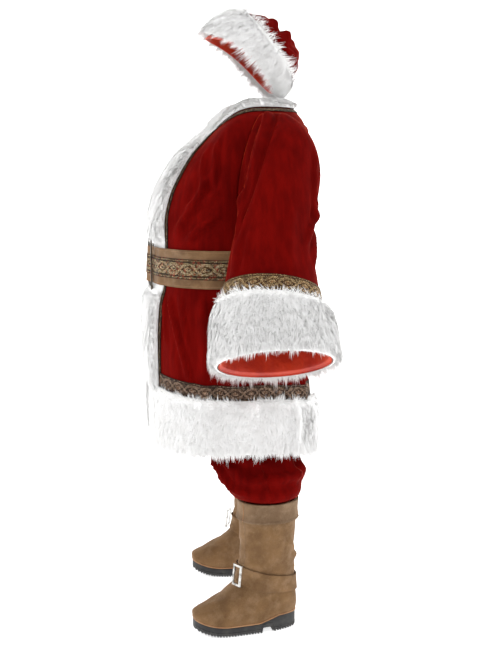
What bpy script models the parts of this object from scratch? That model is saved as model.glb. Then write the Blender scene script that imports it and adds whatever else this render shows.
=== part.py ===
"""Santa suit as worn: fur-trimmed jacket with its belt, trousers, hat and buckled boots, as hollow cloth walls.

Metres, +Z up, front towards -Y, the wearer's left at +X. Heights in the tables are above a level 42 mm under the
soles. One empty carries every piece and lowers it, so that the middle of the neck opening on the shoulder line is the origin.
"""

import math
from collections import namedtuple

import bmesh
import bpy
import numpy as np
from mathutils import Matrix, Vector

SHOULDER_HEIGHT = 1.52

# Walls and gaps
CLOTH = 0.002
LINING = 0.001
BRAID = 0.0015
FUR = 0.030
COLLAR_FUR = 0.018
LEATHER = 0.003
BELT_LEATHER = 0.004
SEAM = 0.0003
LAYER = 0.001

# Jacket heights, measured at the side seam
HEM = 0.600
HEM_FUR_TOP = 0.752
HEM_BRAID_TOP = 0.796
BELT_BOTTOM, BELT_TOP = 1.0665, 1.1735
SQUASH_BOTTOM, SQUASH_TOP = 1.040, 1.200
SQUASH_EASE = 0.016
SQUASHED_FUR = 0.010
ARMHOLE_BOTTOM, ARMHOLE_TOP = 1.250, 1.548
ARMHOLE_FRONT, ARMHOLE_BACK = math.radians(8), math.radians(31)
COLLAR_BRAID_EDGE, COLLAR_EDGE, COLLAR_MIDDLE, NECKLINE = 1.556, 1.566, 1.577, 1.586

# Trim widths on each side of the front opening
BAND_WIDTH = 0.100
BRAID_EDGE = 0.1245

# How many strips make each stretch
BAND_STRIPS = 3
SIDE_STRIPS = 4
BACK_STRIPS = 6
ARM_STEPS = 8

SQUARENESS = 0.77
STEP = 1e-3

JacketRow = namedtuple("JacketRow", "side_height front_height back_height half_width front back middle")
JACKET = [
    JacketRow(0.600, 0.597, 0.553, 0.272, -0.262, 0.204, -0.030),
    JacketRow(0.752, 0.770, 0.712, 0.266, -0.266, 0.194, -0.030),
    JacketRow(0.900, 0.915, 0.885, 0.255, -0.268, 0.182, -0.028),
    JacketRow(1.000, 1.008, 0.992, 0.247, -0.264, 0.170, -0.025),
    JacketRow(1.065, 1.066, 1.064, 0.241, -0.252, 0.154, -0.022),
    JacketRow(1.175, 1.176, 1.172, 0.238, -0.247, 0.152, -0.018),
    JacketRow(1.250, 1.248, 1.250, 0.240, -0.246, 0.164, -0.010),
    JacketRow(1.335, 1.312, 1.332, 0.240, -0.232, 0.180, 0.000),
    JacketRow(1.415, 1.372, 1.412, 0.238, -0.203, 0.194, 0.012),
    JacketRow(1.485, 1.425, 1.482, 0.232, -0.168, 0.192, 0.022),
    JacketRow(1.532, 1.458, 1.530, 0.217, -0.136, 0.177, 0.028),
    JacketRow(1.556, 1.480, 1.557, 0.190, -0.112, 0.158, 0.031),
    JacketRow(1.566, 1.490, 1.568, 0.168, -0.097, 0.147, 0.032),
    JacketRow(1.577, 1.503, 1.579, 0.133, -0.073, 0.130, 0.032),
    JacketRow(1.586, 1.512, 1.588, 0.101, -0.054, 0.112, 0.032),
]

# Each sleeve ring spans from its inner point, beside the body, to its outer one
SleeveRow = namedtuple("SleeveRow", "along inner_x inner_height outer_x outer_height front back")
SLEEVE = [
    SleeveRow(0.00, 0.2515, 1.266, 0.258, 1.565, -0.018, 0.180),
    SleeveRow(0.06, 0.2545, 1.246, 0.316, 1.500, -0.028, 0.172),
    SleeveRow(0.14, 0.2590, 1.200, 0.362, 1.385, -0.048, 0.156),
    SleeveRow(0.24, 0.2640, 1.124, 0.396, 1.250, -0.080, 0.144),
    SleeveRow(0.34, 0.2740, 1.040, 0.434, 1.138, -0.102, 0.149),
    SleeveRow(0.39, 0.2920, 0.992, 0.462, 1.090, -0.112, 0.153),
    SleeveRow(0.54, 0.3680, 0.853, 0.540, 0.955, -0.132, 0.160),
]
SLEEVE_BRAID_START, CUFF_START, SLEEVE_END = 0.345, 0.390, 0.540
BAND_LIFT, BAND_TILT = 0.006, 0.014  # the braid and the cuff lie lower, most of all at the back
CUFF_FUR_END = 0.552
CUFF_FUR = 0.032

TrouserRow = namedtuple("TrouserRow", "height centre_x half_width front back")
TROUSERS = [
    TrouserRow(0.395, 0.2095, 0.050, -0.014, 0.106),
    TrouserRow(0.436, 0.2095, 0.052, -0.018, 0.110),
    TrouserRow(0.450, 0.2080, 0.068, -0.036, 0.124),
    TrouserRow(0.456, 0.2065, 0.083, -0.056, 0.138),
    TrouserRow(0.482, 0.2030, 0.092, -0.078, 0.147),
    TrouserRow(0.520, 0.1940, 0.092, -0.098, 0.148),
    TrouserRow(0.600, 0.1620, 0.092, -0.124, 0.132),
    TrouserRow(0.690, 0.1260, 0.105, -0.140, 0.145),
    TrouserRow(0.755, 0.1180, 0.1155, -0.158, 0.148),
    TrouserRow(0.790, 0.0870, 0.141, -0.172, 0.150),
    TrouserRow(0.840, 0.0460, 0.177, -0.188, 0.150),
    TrouserRow(0.920, 0.0000, 0.217, -0.202, 0.146),
    TrouserRow(1.000, 0.0000, 0.211, -0.206, 0.134),
    TrouserRow(1.090, 0.0000, 0.203, -0.205, 0.122),
    TrouserRow(1.130, 0.0000, 0.200, -0.203, 0.120),
]
WAISTBAND_BOTTOM, WAISTBAND_TOP = 1.090, 1.130
TROUSER_STRIPS = 6

# The wearer's right foot stands back, and its trouser leg follows from this height down
SETBACK = 0.055
SETBACK_TOP, SETBACK_FULL = 0.75, 0.45

BootRow = namedtuple("BootRow", "height front back half_width middle")
BOOT = [
    BootRow(0.073, -0.176, 0.128, 0.0490, -0.070),
    BootRow(0.088, -0.180, 0.131, 0.0515, -0.068),
    BootRow(0.108, -0.166, 0.133, 0.0510, -0.060),
    BootRow(0.130, -0.134, 0.132, 0.0490, -0.045),
    BootRow(0.155, -0.094, 0.130, 0.0480, -0.022),
    BootRow(0.182, -0.058, 0.128, 0.0490, 0.010),
    BootRow(0.196, -0.047, 0.127, 0.0500, 0.024),
    BootRow(0.206, -0.042, 0.127, 0.0510, 0.035),
    BootRow(0.250, -0.036, 0.125, 0.0560, 0.044),
    BootRow(0.310, -0.033, 0.124, 0.0600, 0.045),
    BootRow(0.378, -0.035, 0.127, 0.0650, 0.046),
    BootRow(0.444, -0.038, 0.131, 0.0690, 0.046),
]
ANKLE_SEAM = 0.206
BOOT_TOP = 0.444
BOOT_CUFF_BOTTOM = 0.386
BOOT_CENTRE = 0.2095
TOE_OUT = math.radians(5)
TOE_SPRING, HEEL_LIFT = 0.024, 0.018
SOLE_BOTTOM = 0.042
FOOT_SQUARENESS, SHAFT_SQUARENESS = 0.74, 0.92
BOOT_STRIPS = 20
STRAP_WIDTH, STRAP_FRONT, STRAP_BACK = 0.050, 0.222, 0.180
SOLE_EDGE, SOLE_BLUNT = 0.004, 0.2
SOLE_STATIONS = (0, 0.008, 0.03, 0.07, 0.15, 0.26, 0.40, 0.52, 0.63, 0.64, 0.74, 0.75, 0.84, 0.92, 0.97, 0.992, 1)
HEEL_BREAST, ARCH_FRONT, ARCH_LIFT = 0.052, 0.020, 0.016

# Each hat ring spans from its upper point to its lower one
HatRow = namedtuple("HatRow", "along top_y top_height low_y low_height half_width")
HAT = [
    HatRow(0.0000, -0.095, 1.783, 0.102, 1.623, 0.088),
    HatRow(0.0275, -0.070, 1.804, 0.115, 1.634, 0.092),
    HatRow(0.0550, -0.042, 1.822, 0.126, 1.645, 0.094),
    HatRow(0.0825, -0.014, 1.835, 0.136, 1.656, 0.094),
    HatRow(0.1100, 0.014, 1.842, 0.144, 1.667, 0.092),
    HatRow(0.1500, 0.066, 1.835, 0.156, 1.682, 0.086),
    HatRow(0.1800, 0.103, 1.809, 0.162, 1.694, 0.074),
    HatRow(0.2000, 0.125, 1.784, 0.167, 1.704, 0.062),
    HatRow(0.2200, 0.150, 1.764, 0.171, 1.716, 0.044),
    HatRow(0.2400, 0.169, 1.748, 0.174, 1.730, 0.020),
]
HAT_STRIPS = 20
BRIM_END = 0.105
RIM_RISE = 0.026
BRIM_FUR = 0.028
HAT_LINING_LIP = 0.010
HAT_LINING_DEPTH = 0.070

# The hat's soft end, folded over to the wearer's right and hanging behind the brim
TailRow = namedtuple("TailRow", "x y height thick wide")
HAT_TAIL = [
    TailRow(-0.084, 0.162, 1.740, 0.012, 0.025),
    TailRow(-0.106, 0.154, 1.720, 0.015, 0.030),
    TailRow(-0.126, 0.140, 1.688, 0.015, 0.030),
    TailRow(-0.140, 0.128, 1.650, 0.012, 0.024),
    TailRow(-0.146, 0.120, 1.622, 0.008, 0.012),
]
TAIL_STRIPS = 12

# Belt: how far its inner face stands off the jacket's inner surface, by distance from the front centre
BeltRow = namedtuple("BeltRow", "x stand_off")
BELT_FRONT = [
    BeltRow(0.000, 0.0295),
    BeltRow(0.012, 0.0280),
    BeltRow(0.027, 0.0200),
    BeltRow(0.041, 0.0142),
    BeltRow(0.067, 0.0142),
    BeltRow(0.100, 0.0142),
    BeltRow(0.1245, 0.0075),
]
BELT_SIDE_STAND_OFF = 0.0045
BELT_BRAID_WIDTH = 0.056
BUCKLE_WIDTH, BUCKLE_HEIGHT, BUCKLE_BAR, BUCKLE_THICKNESS = 0.104, 0.146, 0.008, 0.005

FINISHES = {
    "velvet": ((0.30, 0.008, 0.006), 0.75, 0.0),
    "satin": ((0.55, 0.035, 0.015), 0.35, 0.0),
    "fur": ((0.87, 0.87, 0.86), 0.95, 0.0),
    "brocade": ((0.20, 0.13, 0.07), 0.45, 0.3),
    "leather": ((0.23, 0.13, 0.07), 0.6, 0.0),
    "bronze": ((0.05, 0.035, 0.025), 0.4, 1.0),
    "silver": ((0.75, 0.75, 0.74), 0.25, 1.0),
    "rubber": ((0.03, 0.03, 0.03), 0.7, 0.0),
}

LEFT, RIGHT = 1, -1
SIDES = {"left": LEFT, "right": RIGHT}


def clear_scene():
    """Removes whatever the scene starts with."""
    for old in list(bpy.data.objects):
        bpy.data.objects.remove(old, do_unlink=True)


def new_collection(name):
    """A collection linked to the scene."""
    made = bpy.data.collections.new(name)
    bpy.context.scene.collection.children.link(made)
    return made


def dress(obj, finish):
    """Gives an object its own Principled material in one of the suit's finishes."""
    colour, roughness, metallic = FINISHES[finish]
    material = bpy.data.materials.new(obj.name + "_" + finish)
    material.use_nodes = True
    shader = material.node_tree.nodes["Principled BSDF"]
    shader.inputs["Base Color"].default_value = (*colour, 1.0)
    shader.inputs["Roughness"].default_value = roughness
    shader.inputs["Metallic"].default_value = metallic
    obj.data.materials.append(material)


def place(obj, finish):
    """Links an object into the suit and hangs it on the wearer's empty."""
    suit.objects.link(obj)
    obj.parent = wearer
    dress(obj, finish)
    return obj


def smooth_row(table, key):
    """A table's row at any value of its first column, blended by monotone cubics."""
    data = np.array(table, float)
    keys = data[:, 0]
    index = int(np.clip(np.searchsorted(keys, key) - 1, 0, len(keys) - 2))
    secants = np.diff(data, axis=0) / np.diff(keys)[:, None]

    def slope(at):
        if at == 0 or at == len(keys) - 1:
            return secants[min(at, len(secants) - 1)]
        before, after = secants[at - 1], secants[at]
        same = before * after > 0
        total = np.where(same, before + after, 1.0)
        return np.where(same, 2 * before * after / total, 0.0)

    span = keys[index + 1] - keys[index]
    t = (key - keys[index]) / span
    rise = 3 * t**2 - 2 * t**3
    values = data[index] * (1 - rise) + data[index + 1] * rise
    values = values + span * slope(index) * (t**3 - 2 * t**2 + t) + span * slope(index + 1) * (t**3 - t**2)
    return type(table[0])(*values)


def oval(centre_x, half_width, front, back, middle, angle, squareness=1.0):
    """X and Y on a closed section. Angle 0 is its +X side, -90 degrees its front and 90 its back."""
    side, depth = math.cos(angle), math.sin(angle)
    reach = back - middle if depth > 0 else middle - front
    x = centre_x + half_width * math.copysign(abs(side) ** squareness, side)
    return x, middle + reach * math.copysign(abs(depth) ** squareness, depth)


def jacket_point(height, angle, out=0.0):
    """A point of the jacket's inner surface, or one moved out from it."""
    row = smooth_row(JACKET, height)
    x, y = oval(0.0, row.half_width, row.front, row.back, row.middle, angle, SQUARENESS)
    lift = row.back_height if math.sin(angle) > 0 else row.front_height
    point = Vector((x, y, row.side_height + (lift - row.side_height) * math.sin(angle) ** 2))
    if not out:
        return point
    across = jacket_point(height, angle + STEP) - jacket_point(height, angle - STEP)
    lower, upper = max(height - STEP, HEM), min(height + STEP, NECKLINE)
    along = jacket_point(upper, angle) - jacket_point(lower, angle)
    return point + across.cross(along).normalized() * out


def front_angle(height, x):
    """The angle at which the jacket's front is this far from its centre; above the collar edge it stays."""
    half_width = smooth_row(JACKET, min(height, COLLAR_EDGE)).half_width
    return -math.acos(min(x / half_width, 1.0) ** (1 / SQUARENESS))


def armhole_turn(height):
    """How far round, as a share of the armhole's half width, its edge stands at this height."""
    middle = (ARMHOLE_TOP + ARMHOLE_BOTTOM) / 2
    reach = (height - middle) / (ARMHOLE_TOP - middle)
    return math.sqrt(max(0.0, 1 - reach * reach))


def armhole_heights():
    """Heights at equal turns round the armhole, from its bottom to its top."""
    middle, half = (ARMHOLE_TOP + ARMHOLE_BOTTOM) / 2, (ARMHOLE_TOP - ARMHOLE_BOTTOM) / 2
    return [middle - half * math.cos(math.pi * step / ARM_STEPS) for step in range(ARM_STEPS + 1)]


def band_angles(height):
    """Angles of the front fur band's strips, from the centre out."""
    return [front_angle(height, BAND_WIDTH * step / BAND_STRIPS) for step in range(BAND_STRIPS + 1)]


def side_angles(height):
    """Angles from the front braid's edge to the side seam or the armhole."""
    start, end = front_angle(height, BRAID_EDGE), -ARMHOLE_FRONT * armhole_turn(height)
    return [start + (end - start) * step / SIDE_STRIPS for step in range(SIDE_STRIPS + 1)]


def back_angles(height):
    """Angles from one side seam or armhole round the back to the other."""
    start = ARMHOLE_BACK * armhole_turn(height)
    steps = range(2 * BACK_STRIPS + 1)
    return [start + (math.pi - 2 * start) * step / (2 * BACK_STRIPS) for step in steps]


def mirrored(rows, side):
    """The rows as they are for the wearer's left, or reflected for the right."""
    if side == LEFT:
        return rows
    return [[Vector((-p.x, p.y, p.z)) for p in reversed(row)] for row in rows]


def row_centres(rows):
    """The middle of each row of points."""
    return [sum(row, Vector()) / len(row) for row in rows]


def wall(name, finish, rows, thickness, closed=False, inside=None, fullness=None, tip=None):
    """A wall that grows outward from a grid of points.

    rows run along the piece and each one runs across or, if closed, round it. inside is a line of points, one
    for each row, that the wall faces away from. fullness scales the thickness at each point, and tip closes the
    last row in a point.
    """
    mesh = bmesh.new()
    corners = [[mesh.verts.new(point) for point in row] for row in rows]
    for low, high in zip(corners, corners[1:]):
        count = len(low)
        for step in range(count if closed else count - 1):
            after = (step + 1) % count
            mesh.faces.new((low[step], low[after], high[after], high[step]))
    if tip is not None:
        end = mesh.verts.new(tip)
        last = corners[-1]
        for step in range(len(last)):
            mesh.faces.new((last[step], last[(step + 1) % len(last)], end))
    mesh.normal_update()
    centres = inside or row_centres(rows)
    outward = 0.0
    for row, centre in zip(corners, centres):
        for corner in row:
            outward += sum((f.normal.dot(corner.co - centre) for f in corner.link_faces), 0.0)
    if outward < 0:
        bmesh.ops.reverse_faces(mesh, faces=mesh.faces)
    bmesh.ops.triangulate(mesh, faces=mesh.faces, quad_method="FIXED")
    data = bpy.data.meshes.new(name)
    mesh.to_mesh(data)
    mesh.free()
    obj = place(bpy.data.objects.new(name, data), finish)
    solid = obj.modifiers.new("wall", "SOLIDIFY")
    solid.thickness = thickness
    solid.offset = 1.0
    if fullness is not None:
        group = obj.vertex_groups.new(name="fullness")
        flat = [share for row in fullness for share in row]
        for index, share in enumerate(flat):
            group.add([index], share, "REPLACE")
        solid.vertex_group = "fullness"
    data.shade_smooth()
    data.set_sharp_from_angle(angle=math.radians(50))
    return obj


def body_axis(rows):
    """The upright line inside the jacket, at each row's height."""
    return [Vector((0.0, 0.0, centre.z)) for centre in row_centres(rows)]


def seam_shift(rows, first=Vector(), last=Vector()):
    """Moves a panel's first and last columns off its seams."""
    for row in rows:
        row[0] = row[0] + first
        row[-1] = row[-1] + last
    return rows


def jacket_heights():
    """The rows of the jacket's panels."""
    below = [HEM, 0.650, 0.700, HEM_FUR_TOP, HEM_BRAID_TOP, 0.860, 0.940, SQUASH_BOTTOM - SQUASH_EASE]
    waist = [SQUASH_BOTTOM, BELT_BOTTOM, BELT_TOP, SQUASH_TOP, SQUASH_TOP + SQUASH_EASE]
    return below + waist + armhole_heights() + [COLLAR_BRAID_EDGE, COLLAR_EDGE, COLLAR_MIDDLE, NECKLINE]


def build_jacket_panels():
    """The two fronts and the back, which meet at the side and shoulder seams and leave the armholes open."""
    half = SEAM / 2
    for word, side in SIDES.items():
        rows = []
        for height in jacket_heights():
            angles = band_angles(height) + side_angles(height)
            rows.append([jacket_point(height, angle) for angle in angles])
        rows = seam_shift(rows, Vector((half, 0, 0)), Vector((0, -half, 0)))
        rows = mirrored(rows, side)
        wall("jacket_front_" + word, "velvet", rows, CLOTH, inside=body_axis(rows))
    rows = [[jacket_point(h, angle) for angle in back_angles(h)] for h in jacket_heights()]
    rows = seam_shift(rows, Vector((0, half, 0)), Vector((0, half, 0)))
    wall("jacket_back", "velvet", rows, CLOTH, inside=body_axis(rows))


def front_fur_share(height):
    """The front band's thickness as a share of its full one: it is squashed under the belt."""
    squashed = SQUASHED_FUR / FUR
    if SQUASH_BOTTOM <= height <= SQUASH_TOP:
        return squashed
    return 1.0


def build_front_trim():
    """The fur band and the braid beside it, down each front edge."""
    out = CLOTH + LAYER
    middle = [h for h in jacket_heights() if HEM_FUR_TOP < h < COLLAR_EDGE and h != COLLAR_BRAID_EDGE]
    fur_heights = [HEM_FUR_TOP + SEAM] + middle + [COLLAR_BRAID_EDGE, COLLAR_EDGE - 2 * LAYER]
    braid_heights = [h for h in middle if h >= HEM_BRAID_TOP] + [COLLAR_BRAID_EDGE - LAYER]
    for word, side in SIDES.items():
        rows = []
        shares = []
        for height in fur_heights:
            angles = [front_angle(height, BAND_WIDTH * s / BAND_STRIPS) for s in range(BAND_STRIPS + 1)]
            rows.append([jacket_point(height, angle, out) for angle in angles])
            full = front_fur_share(height) * (0.5 if height in (fur_heights[0], fur_heights[-1]) else 1.0)
            shares.append([0.9 * full, full, full, 0.35 * full])
        rows = seam_shift(rows, Vector((SEAM, 0, 0)))
        rows = mirrored(rows, side)
        if side == RIGHT:
            shares = [list(reversed(row)) for row in shares]
        wall("front_fur_" + word, "fur", rows, FUR, inside=body_axis(rows), fullness=shares)
        edges = []
        for height in braid_heights:
            angles = [front_angle(height, BAND_WIDTH + LAYER), front_angle(height, BRAID_EDGE)]
            edges.append([jacket_point(height, angle, out) for angle in angles])
        edges = mirrored(edges, side)
        wall("front_braid_" + word, "brocade", edges, BRAID, inside=body_axis(edges))


def round_the_body(height, start_x, out):
    """A row from the left front, this far from the centre, round the back to the right front."""
    front = [a for a in band_angles(height) if a >= front_angle(height, start_x) - STEP]
    left = front + side_angles_plain(height)
    whole = left[:-1] + back_angles_plain() + [math.pi - a for a in reversed(left[:-1])]
    return [jacket_point(height, angle, out) for angle in whole]


def side_angles_plain(height):
    """Angles from the front braid's edge to the side seam, where there is no armhole."""
    start = front_angle(height, BRAID_EDGE)
    return [start * (1 - step / SIDE_STRIPS) for step in range(SIDE_STRIPS + 1)]


def back_angles_plain():
    """Angles round the back where there is no armhole."""
    return [math.pi * step / (2 * BACK_STRIPS) for step in range(2 * BACK_STRIPS + 1)]


def build_hem_and_collar_trim():
    """Fur and braid round the hem and the neckline."""
    out = CLOTH + LAYER
    hem_rows = [HEM, 0.650, 0.700, HEM_FUR_TOP - SEAM]
    rows = [round_the_body(height, 0.0, out) for height in hem_rows]
    rows = seam_shift(rows, Vector((SEAM, 0, 0)), Vector((-SEAM, 0, 0)))
    shares = [[share] * len(rows[0]) for share in (0.55, 1.0, 1.0, 0.5)]
    wall("hem_fur", "fur", rows, FUR, inside=body_axis(rows), fullness=shares)
    rows = [round_the_body(height, BAND_WIDTH, out) for height in (HEM_FUR_TOP + SEAM, HEM_BRAID_TOP - LAYER)]
    rows = seam_shift(rows, Vector((LAYER, 0, 0)), Vector((-LAYER, 0, 0)))
    wall("hem_braid", "brocade", rows, BRAID, inside=body_axis(rows))
    rows = [round_the_body(height, BAND_WIDTH, out) for height in (COLLAR_BRAID_EDGE, COLLAR_EDGE - 2 * LAYER)]
    rows = seam_shift(rows, Vector((2 * LAYER, 0, 0)), Vector((-2 * LAYER, 0, 0)))
    wall("neck_braid", "brocade", rows, BRAID, inside=body_axis(rows))
    rows = [round_the_body(height, 0.0, out + LAYER) for height in (COLLAR_EDGE, COLLAR_MIDDLE, NECKLINE)]
    rows = seam_shift(rows, Vector((SEAM, 0, 0)), Vector((-SEAM, 0, 0)))
    shares = [[share] * len(rows[0]) for share in (0.45, 1.0, 0.5)]
    wall("collar_fur", "fur", rows, COLLAR_FUR, inside=body_axis(rows), fullness=shares)


def sleeve_ring(along, out=0.0):
    """A closed ring of the left sleeve. Its first point is the outer one, then it turns to the back."""
    row = smooth_row(SLEEVE, along)
    inner, outer = Vector((row.inner_x, 0, row.inner_height)), Vector((row.outer_x, 0, row.outer_height))
    centre = (inner + outer) / 2 + Vector((0, (row.front + row.back) / 2, 0))
    half, depth = (outer - inner) / 2, Vector((0, (row.back - row.front) / 2, 0))
    half, depth = half + half.normalized() * out, depth + depth.normalized() * out
    turns = [2 * math.pi * step / (2 * ARM_STEPS) for step in range(2 * ARM_STEPS)]
    return [centre + half * math.cos(turn) + depth * math.sin(turn) for turn in turns]


def banded_ring(along, out, share=1.0):
    """A sleeve ring for the braid and the cuff, which are sewn on aslant. Share is how much of the slant is left."""
    turns = [2 * math.pi * step / (2 * ARM_STEPS) for step in range(2 * ARM_STEPS)]
    shifts = [share * (BAND_LIFT + BAND_TILT * math.sin(turn)) for turn in turns]
    return [sleeve_ring(along + shift, out)[step] for step, shift in enumerate(shifts)]


def sleeve_head():
    """The sleeve's upper edge, which lies just outside the armhole's edge on the jacket."""
    points = []
    heights = armhole_heights()
    out = CLOTH + LAYER
    for height in reversed(heights):
        points.append(jacket_point(height, ARMHOLE_BACK * armhole_turn(height), out))
    for height in heights[1:-1]:
        points.append(jacket_point(height, -ARMHOLE_FRONT * armhole_turn(height), out))
    return points


def build_sleeves():
    """Sleeves with braid, fur cuff and the lining that shows inside the cuff."""
    for word, side in SIDES.items():
        steps = [row.along for row in SLEEVE]
        rows = [sleeve_head()] + [sleeve_ring(along) for along in steps]
        rows = mirrored(rows, side)
        wall("sleeve_" + word, "velvet", rows, CLOTH, closed=True)
        out = CLOTH + 2 * LAYER
        middle = (SLEEVE_BRAID_START + CUFF_START) / 2
        rows = [banded_ring(along, out) for along in (SLEEVE_BRAID_START, middle, CUFF_START - LAYER)]
        rows = mirrored(rows, side)
        wall("sleeve_braid_" + word, "brocade", rows, BRAID, closed=True)
        span = CUFF_FUR_END - CUFF_START
        rows = []
        for share in (0.0, 0.25, 0.75, 1.0):
            along = CUFF_START + span * share
            rows.append(banded_ring(min(along, SLEEVE_END), out + max(0, along - SLEEVE_END), 1 - share))
        rows = mirrored(rows, side)
        shares = [[share] * len(rows[0]) for share in (0.5, 1.0, 1.0, 0.55)]
        wall("cuff_fur_" + word, "fur", rows, CUFF_FUR, closed=True, fullness=shares)
        inward = -(LINING + LAYER)
        rows = [sleeve_ring(along, inward) for along in (CUFF_START, SLEEVE_END)]
        wall("cuff_lining_" + word, "satin", mirrored(rows, side), LINING, closed=True)


def trouser_setback(height, side):
    """How far back this leg stands at this height."""
    if side == LEFT or height >= SETBACK_TOP:
        return 0.0
    return SETBACK * min(1.0, (SETBACK_TOP - height) / (SETBACK_TOP - SETBACK_FULL)) ** 2.5


def trouser_row(row, facing, side):
    """One panel's row of points from the rise or inseam to the side seam. Facing is -1 in front, 1 behind."""
    centre, half_width = row.centre_x, row.half_width
    middle = (row.front + row.back) / 2
    clearance = SEAM / 2 + CLOTH * min(1.0, centre / half_width)
    start = math.pi
    if centre - half_width < clearance:
        start = math.acos(max(-1.0, -(centre - clearance) / half_width))
    points = []
    for step in range(TROUSER_STRIPS + 1):
        angle = facing * start * (1 - step / TROUSER_STRIPS)
        x, y = oval(centre, half_width, row.front, row.back, middle, angle)
        points.append(Vector((x, y, row.height)))
    apart = Vector((0, facing * SEAM / 2, 0))
    points[-1] += apart
    if start == math.pi:
        points[0] += apart
    back = Vector((0, trouser_setback(row.height, side), 0))
    points = [point + back for point in points]
    return points if side == LEFT else [Vector((-p.x, p.y, p.z)) for p in points]


def build_trousers():
    """Four leg panels, which meet at the rise, inseams and side seams, and the waist casing."""
    panel_rows = [row for row in TROUSERS if row.height <= WAISTBAND_BOTTOM]
    for word, side in SIDES.items():
        for face, facing in (("front", -1), ("back", 1)):
            rows = [trouser_row(row, facing, side) for row in panel_rows]
            inside = []
            for row in panel_rows:
                y = (row.front + row.back) / 2 + trouser_setback(row.height, side)
                inside.append(Vector((side * row.centre_x, y, row.height)))
            wall(f"trouser_{face}_{word}", "velvet", rows, CLOTH, inside=inside)
    rows = []
    for height in (WAISTBAND_BOTTOM + SEAM, WAISTBAND_TOP):
        row = smooth_row(TROUSERS, height)
        middle = (row.front + row.back) / 2
        turns = [math.pi * step / (2 * TROUSER_STRIPS) for step in range(-2 * TROUSER_STRIPS, 2 * TROUSER_STRIPS)]
        ring = [oval(0.0, row.half_width, row.front, row.back, middle, turn) for turn in turns]
        rows.append([Vector((x, y, height)) for x, y in ring])
    wall("trouser_waistband", "velvet", rows, CLOTH, closed=True)


def foot_lift(height, y):
    """How far the toe spring and the heel raise a boot point, fading out up the foot."""
    fade = max(0.0, 1 - (height - BOOT[0].height) / 0.09)
    toe = max(0.0, (-0.075 - y) / 0.105) ** 2 * TOE_SPRING
    heel = min(1.0, max(0.0, (y - 0.010) / 0.06)) * HEEL_LIFT
    return fade * (toe + heel)


def boot_point(height, turn, out=0.0):
    """A point of the boot's inner surface, in the boot's own frame, or one moved out from it."""
    row = smooth_row(BOOT, height)
    up = min(1.0, max(0.0, (height - BOOT[0].height) / (ANKLE_SEAM - BOOT[0].height)))
    squareness = FOOT_SQUARENESS + (SHAFT_SQUARENESS - FOOT_SQUARENESS) * up
    x, y = oval(0.0, row.half_width, row.front, row.back, row.middle, turn, squareness)
    point = Vector((x, y, height + foot_lift(height, y)))
    if not out:
        return point
    across = boot_point(height, turn + STEP) - boot_point(height, turn - STEP)
    along = boot_point(min(height + STEP, BOOT_TOP), turn) - boot_point(max(height - STEP, BOOT[0].height), turn)
    return point + across.cross(along).normalized() * out


def stand_boot(rows, side):
    """Turns a boot's points out, mirrors them for the right foot and stands them where the foot is."""
    turned = Matrix.Rotation(TOE_OUT, 3, "Z")
    stood = []
    for row in rows:
        moved = [turned @ point + Vector((BOOT_CENTRE, 0, 0)) for point in row]
        if side == RIGHT:
            moved = [Vector((-p.x, p.y + SETBACK, p.z)) for p in moved]
        stood.append(moved)
    return stood


def boot_ring(height, out=0.0):
    """A closed ring of boot points at one height."""
    turns = [2 * math.pi * step / BOOT_STRIPS for step in range(BOOT_STRIPS)]
    return [boot_point(height, turn, out) for turn in turns]


def strap_ring(share, out):
    """A ring round the ankle, higher in front: share runs from the strap's lower edge to its upper one."""
    ring = []
    for step in range(BOOT_STRIPS):
        turn = 2 * math.pi * step / BOOT_STRIPS
        height = (STRAP_FRONT + STRAP_BACK) / 2 - (STRAP_FRONT - STRAP_BACK) / 2 * math.sin(turn)
        ring.append(boot_point(height + (share - 0.5) * STRAP_WIDTH, turn, out))
    return ring


def sole_rows():
    """Upright sections of the sole from toe to heel, each of four corners."""
    base = BOOT[0]
    rows = []
    for station in SOLE_STATIONS:
        front, back = base.front - SOLE_EDGE, base.back + SOLE_EDGE
        y = front + (back - front) * station
        reach = (base.middle - front) if y < base.middle else (back - base.middle)
        share = abs(y - base.middle) / reach
        round_off = max(0.0, 1 - share ** (2 / FOOT_SQUARENESS)) ** (FOOT_SQUARENESS / 2)
        half_width = (base.half_width + SOLE_EDGE) * max(SOLE_BLUNT, round_off)
        top = base.height + foot_lift(base.height, y) - 2.2 * LAYER
        arch = ARCH_LIFT if ARCH_FRONT < y < HEEL_BREAST else 0.0
        spring = max(0.0, (-0.075 - y) / 0.105) ** 2 * TOE_SPRING
        bottom = SOLE_BOTTOM + max(arch, spring)
        corners = ((-half_width, bottom), (half_width, bottom), (half_width, top), (-half_width, top))
        rows.append([Vector((x, y, z)) for x, z in corners])
    return rows


def closed_loft(name, finish, rows):
    """A solid through closed sections, capped at both ends."""
    mesh = bmesh.new()
    corners = [[mesh.verts.new(point) for point in row] for row in rows]
    for low, high in zip(corners, corners[1:]):
        for step in range(len(low)):
            after = (step + 1) % len(low)
            mesh.faces.new((low[step], low[after], high[after], high[step]))
    mesh.faces.new(corners[0])
    mesh.faces.new(corners[-1])
    bmesh.ops.recalc_face_normals(mesh, faces=mesh.faces)
    data = bpy.data.meshes.new(name)
    mesh.to_mesh(data)
    mesh.free()
    return place(bpy.data.objects.new(name, data), finish)


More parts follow.
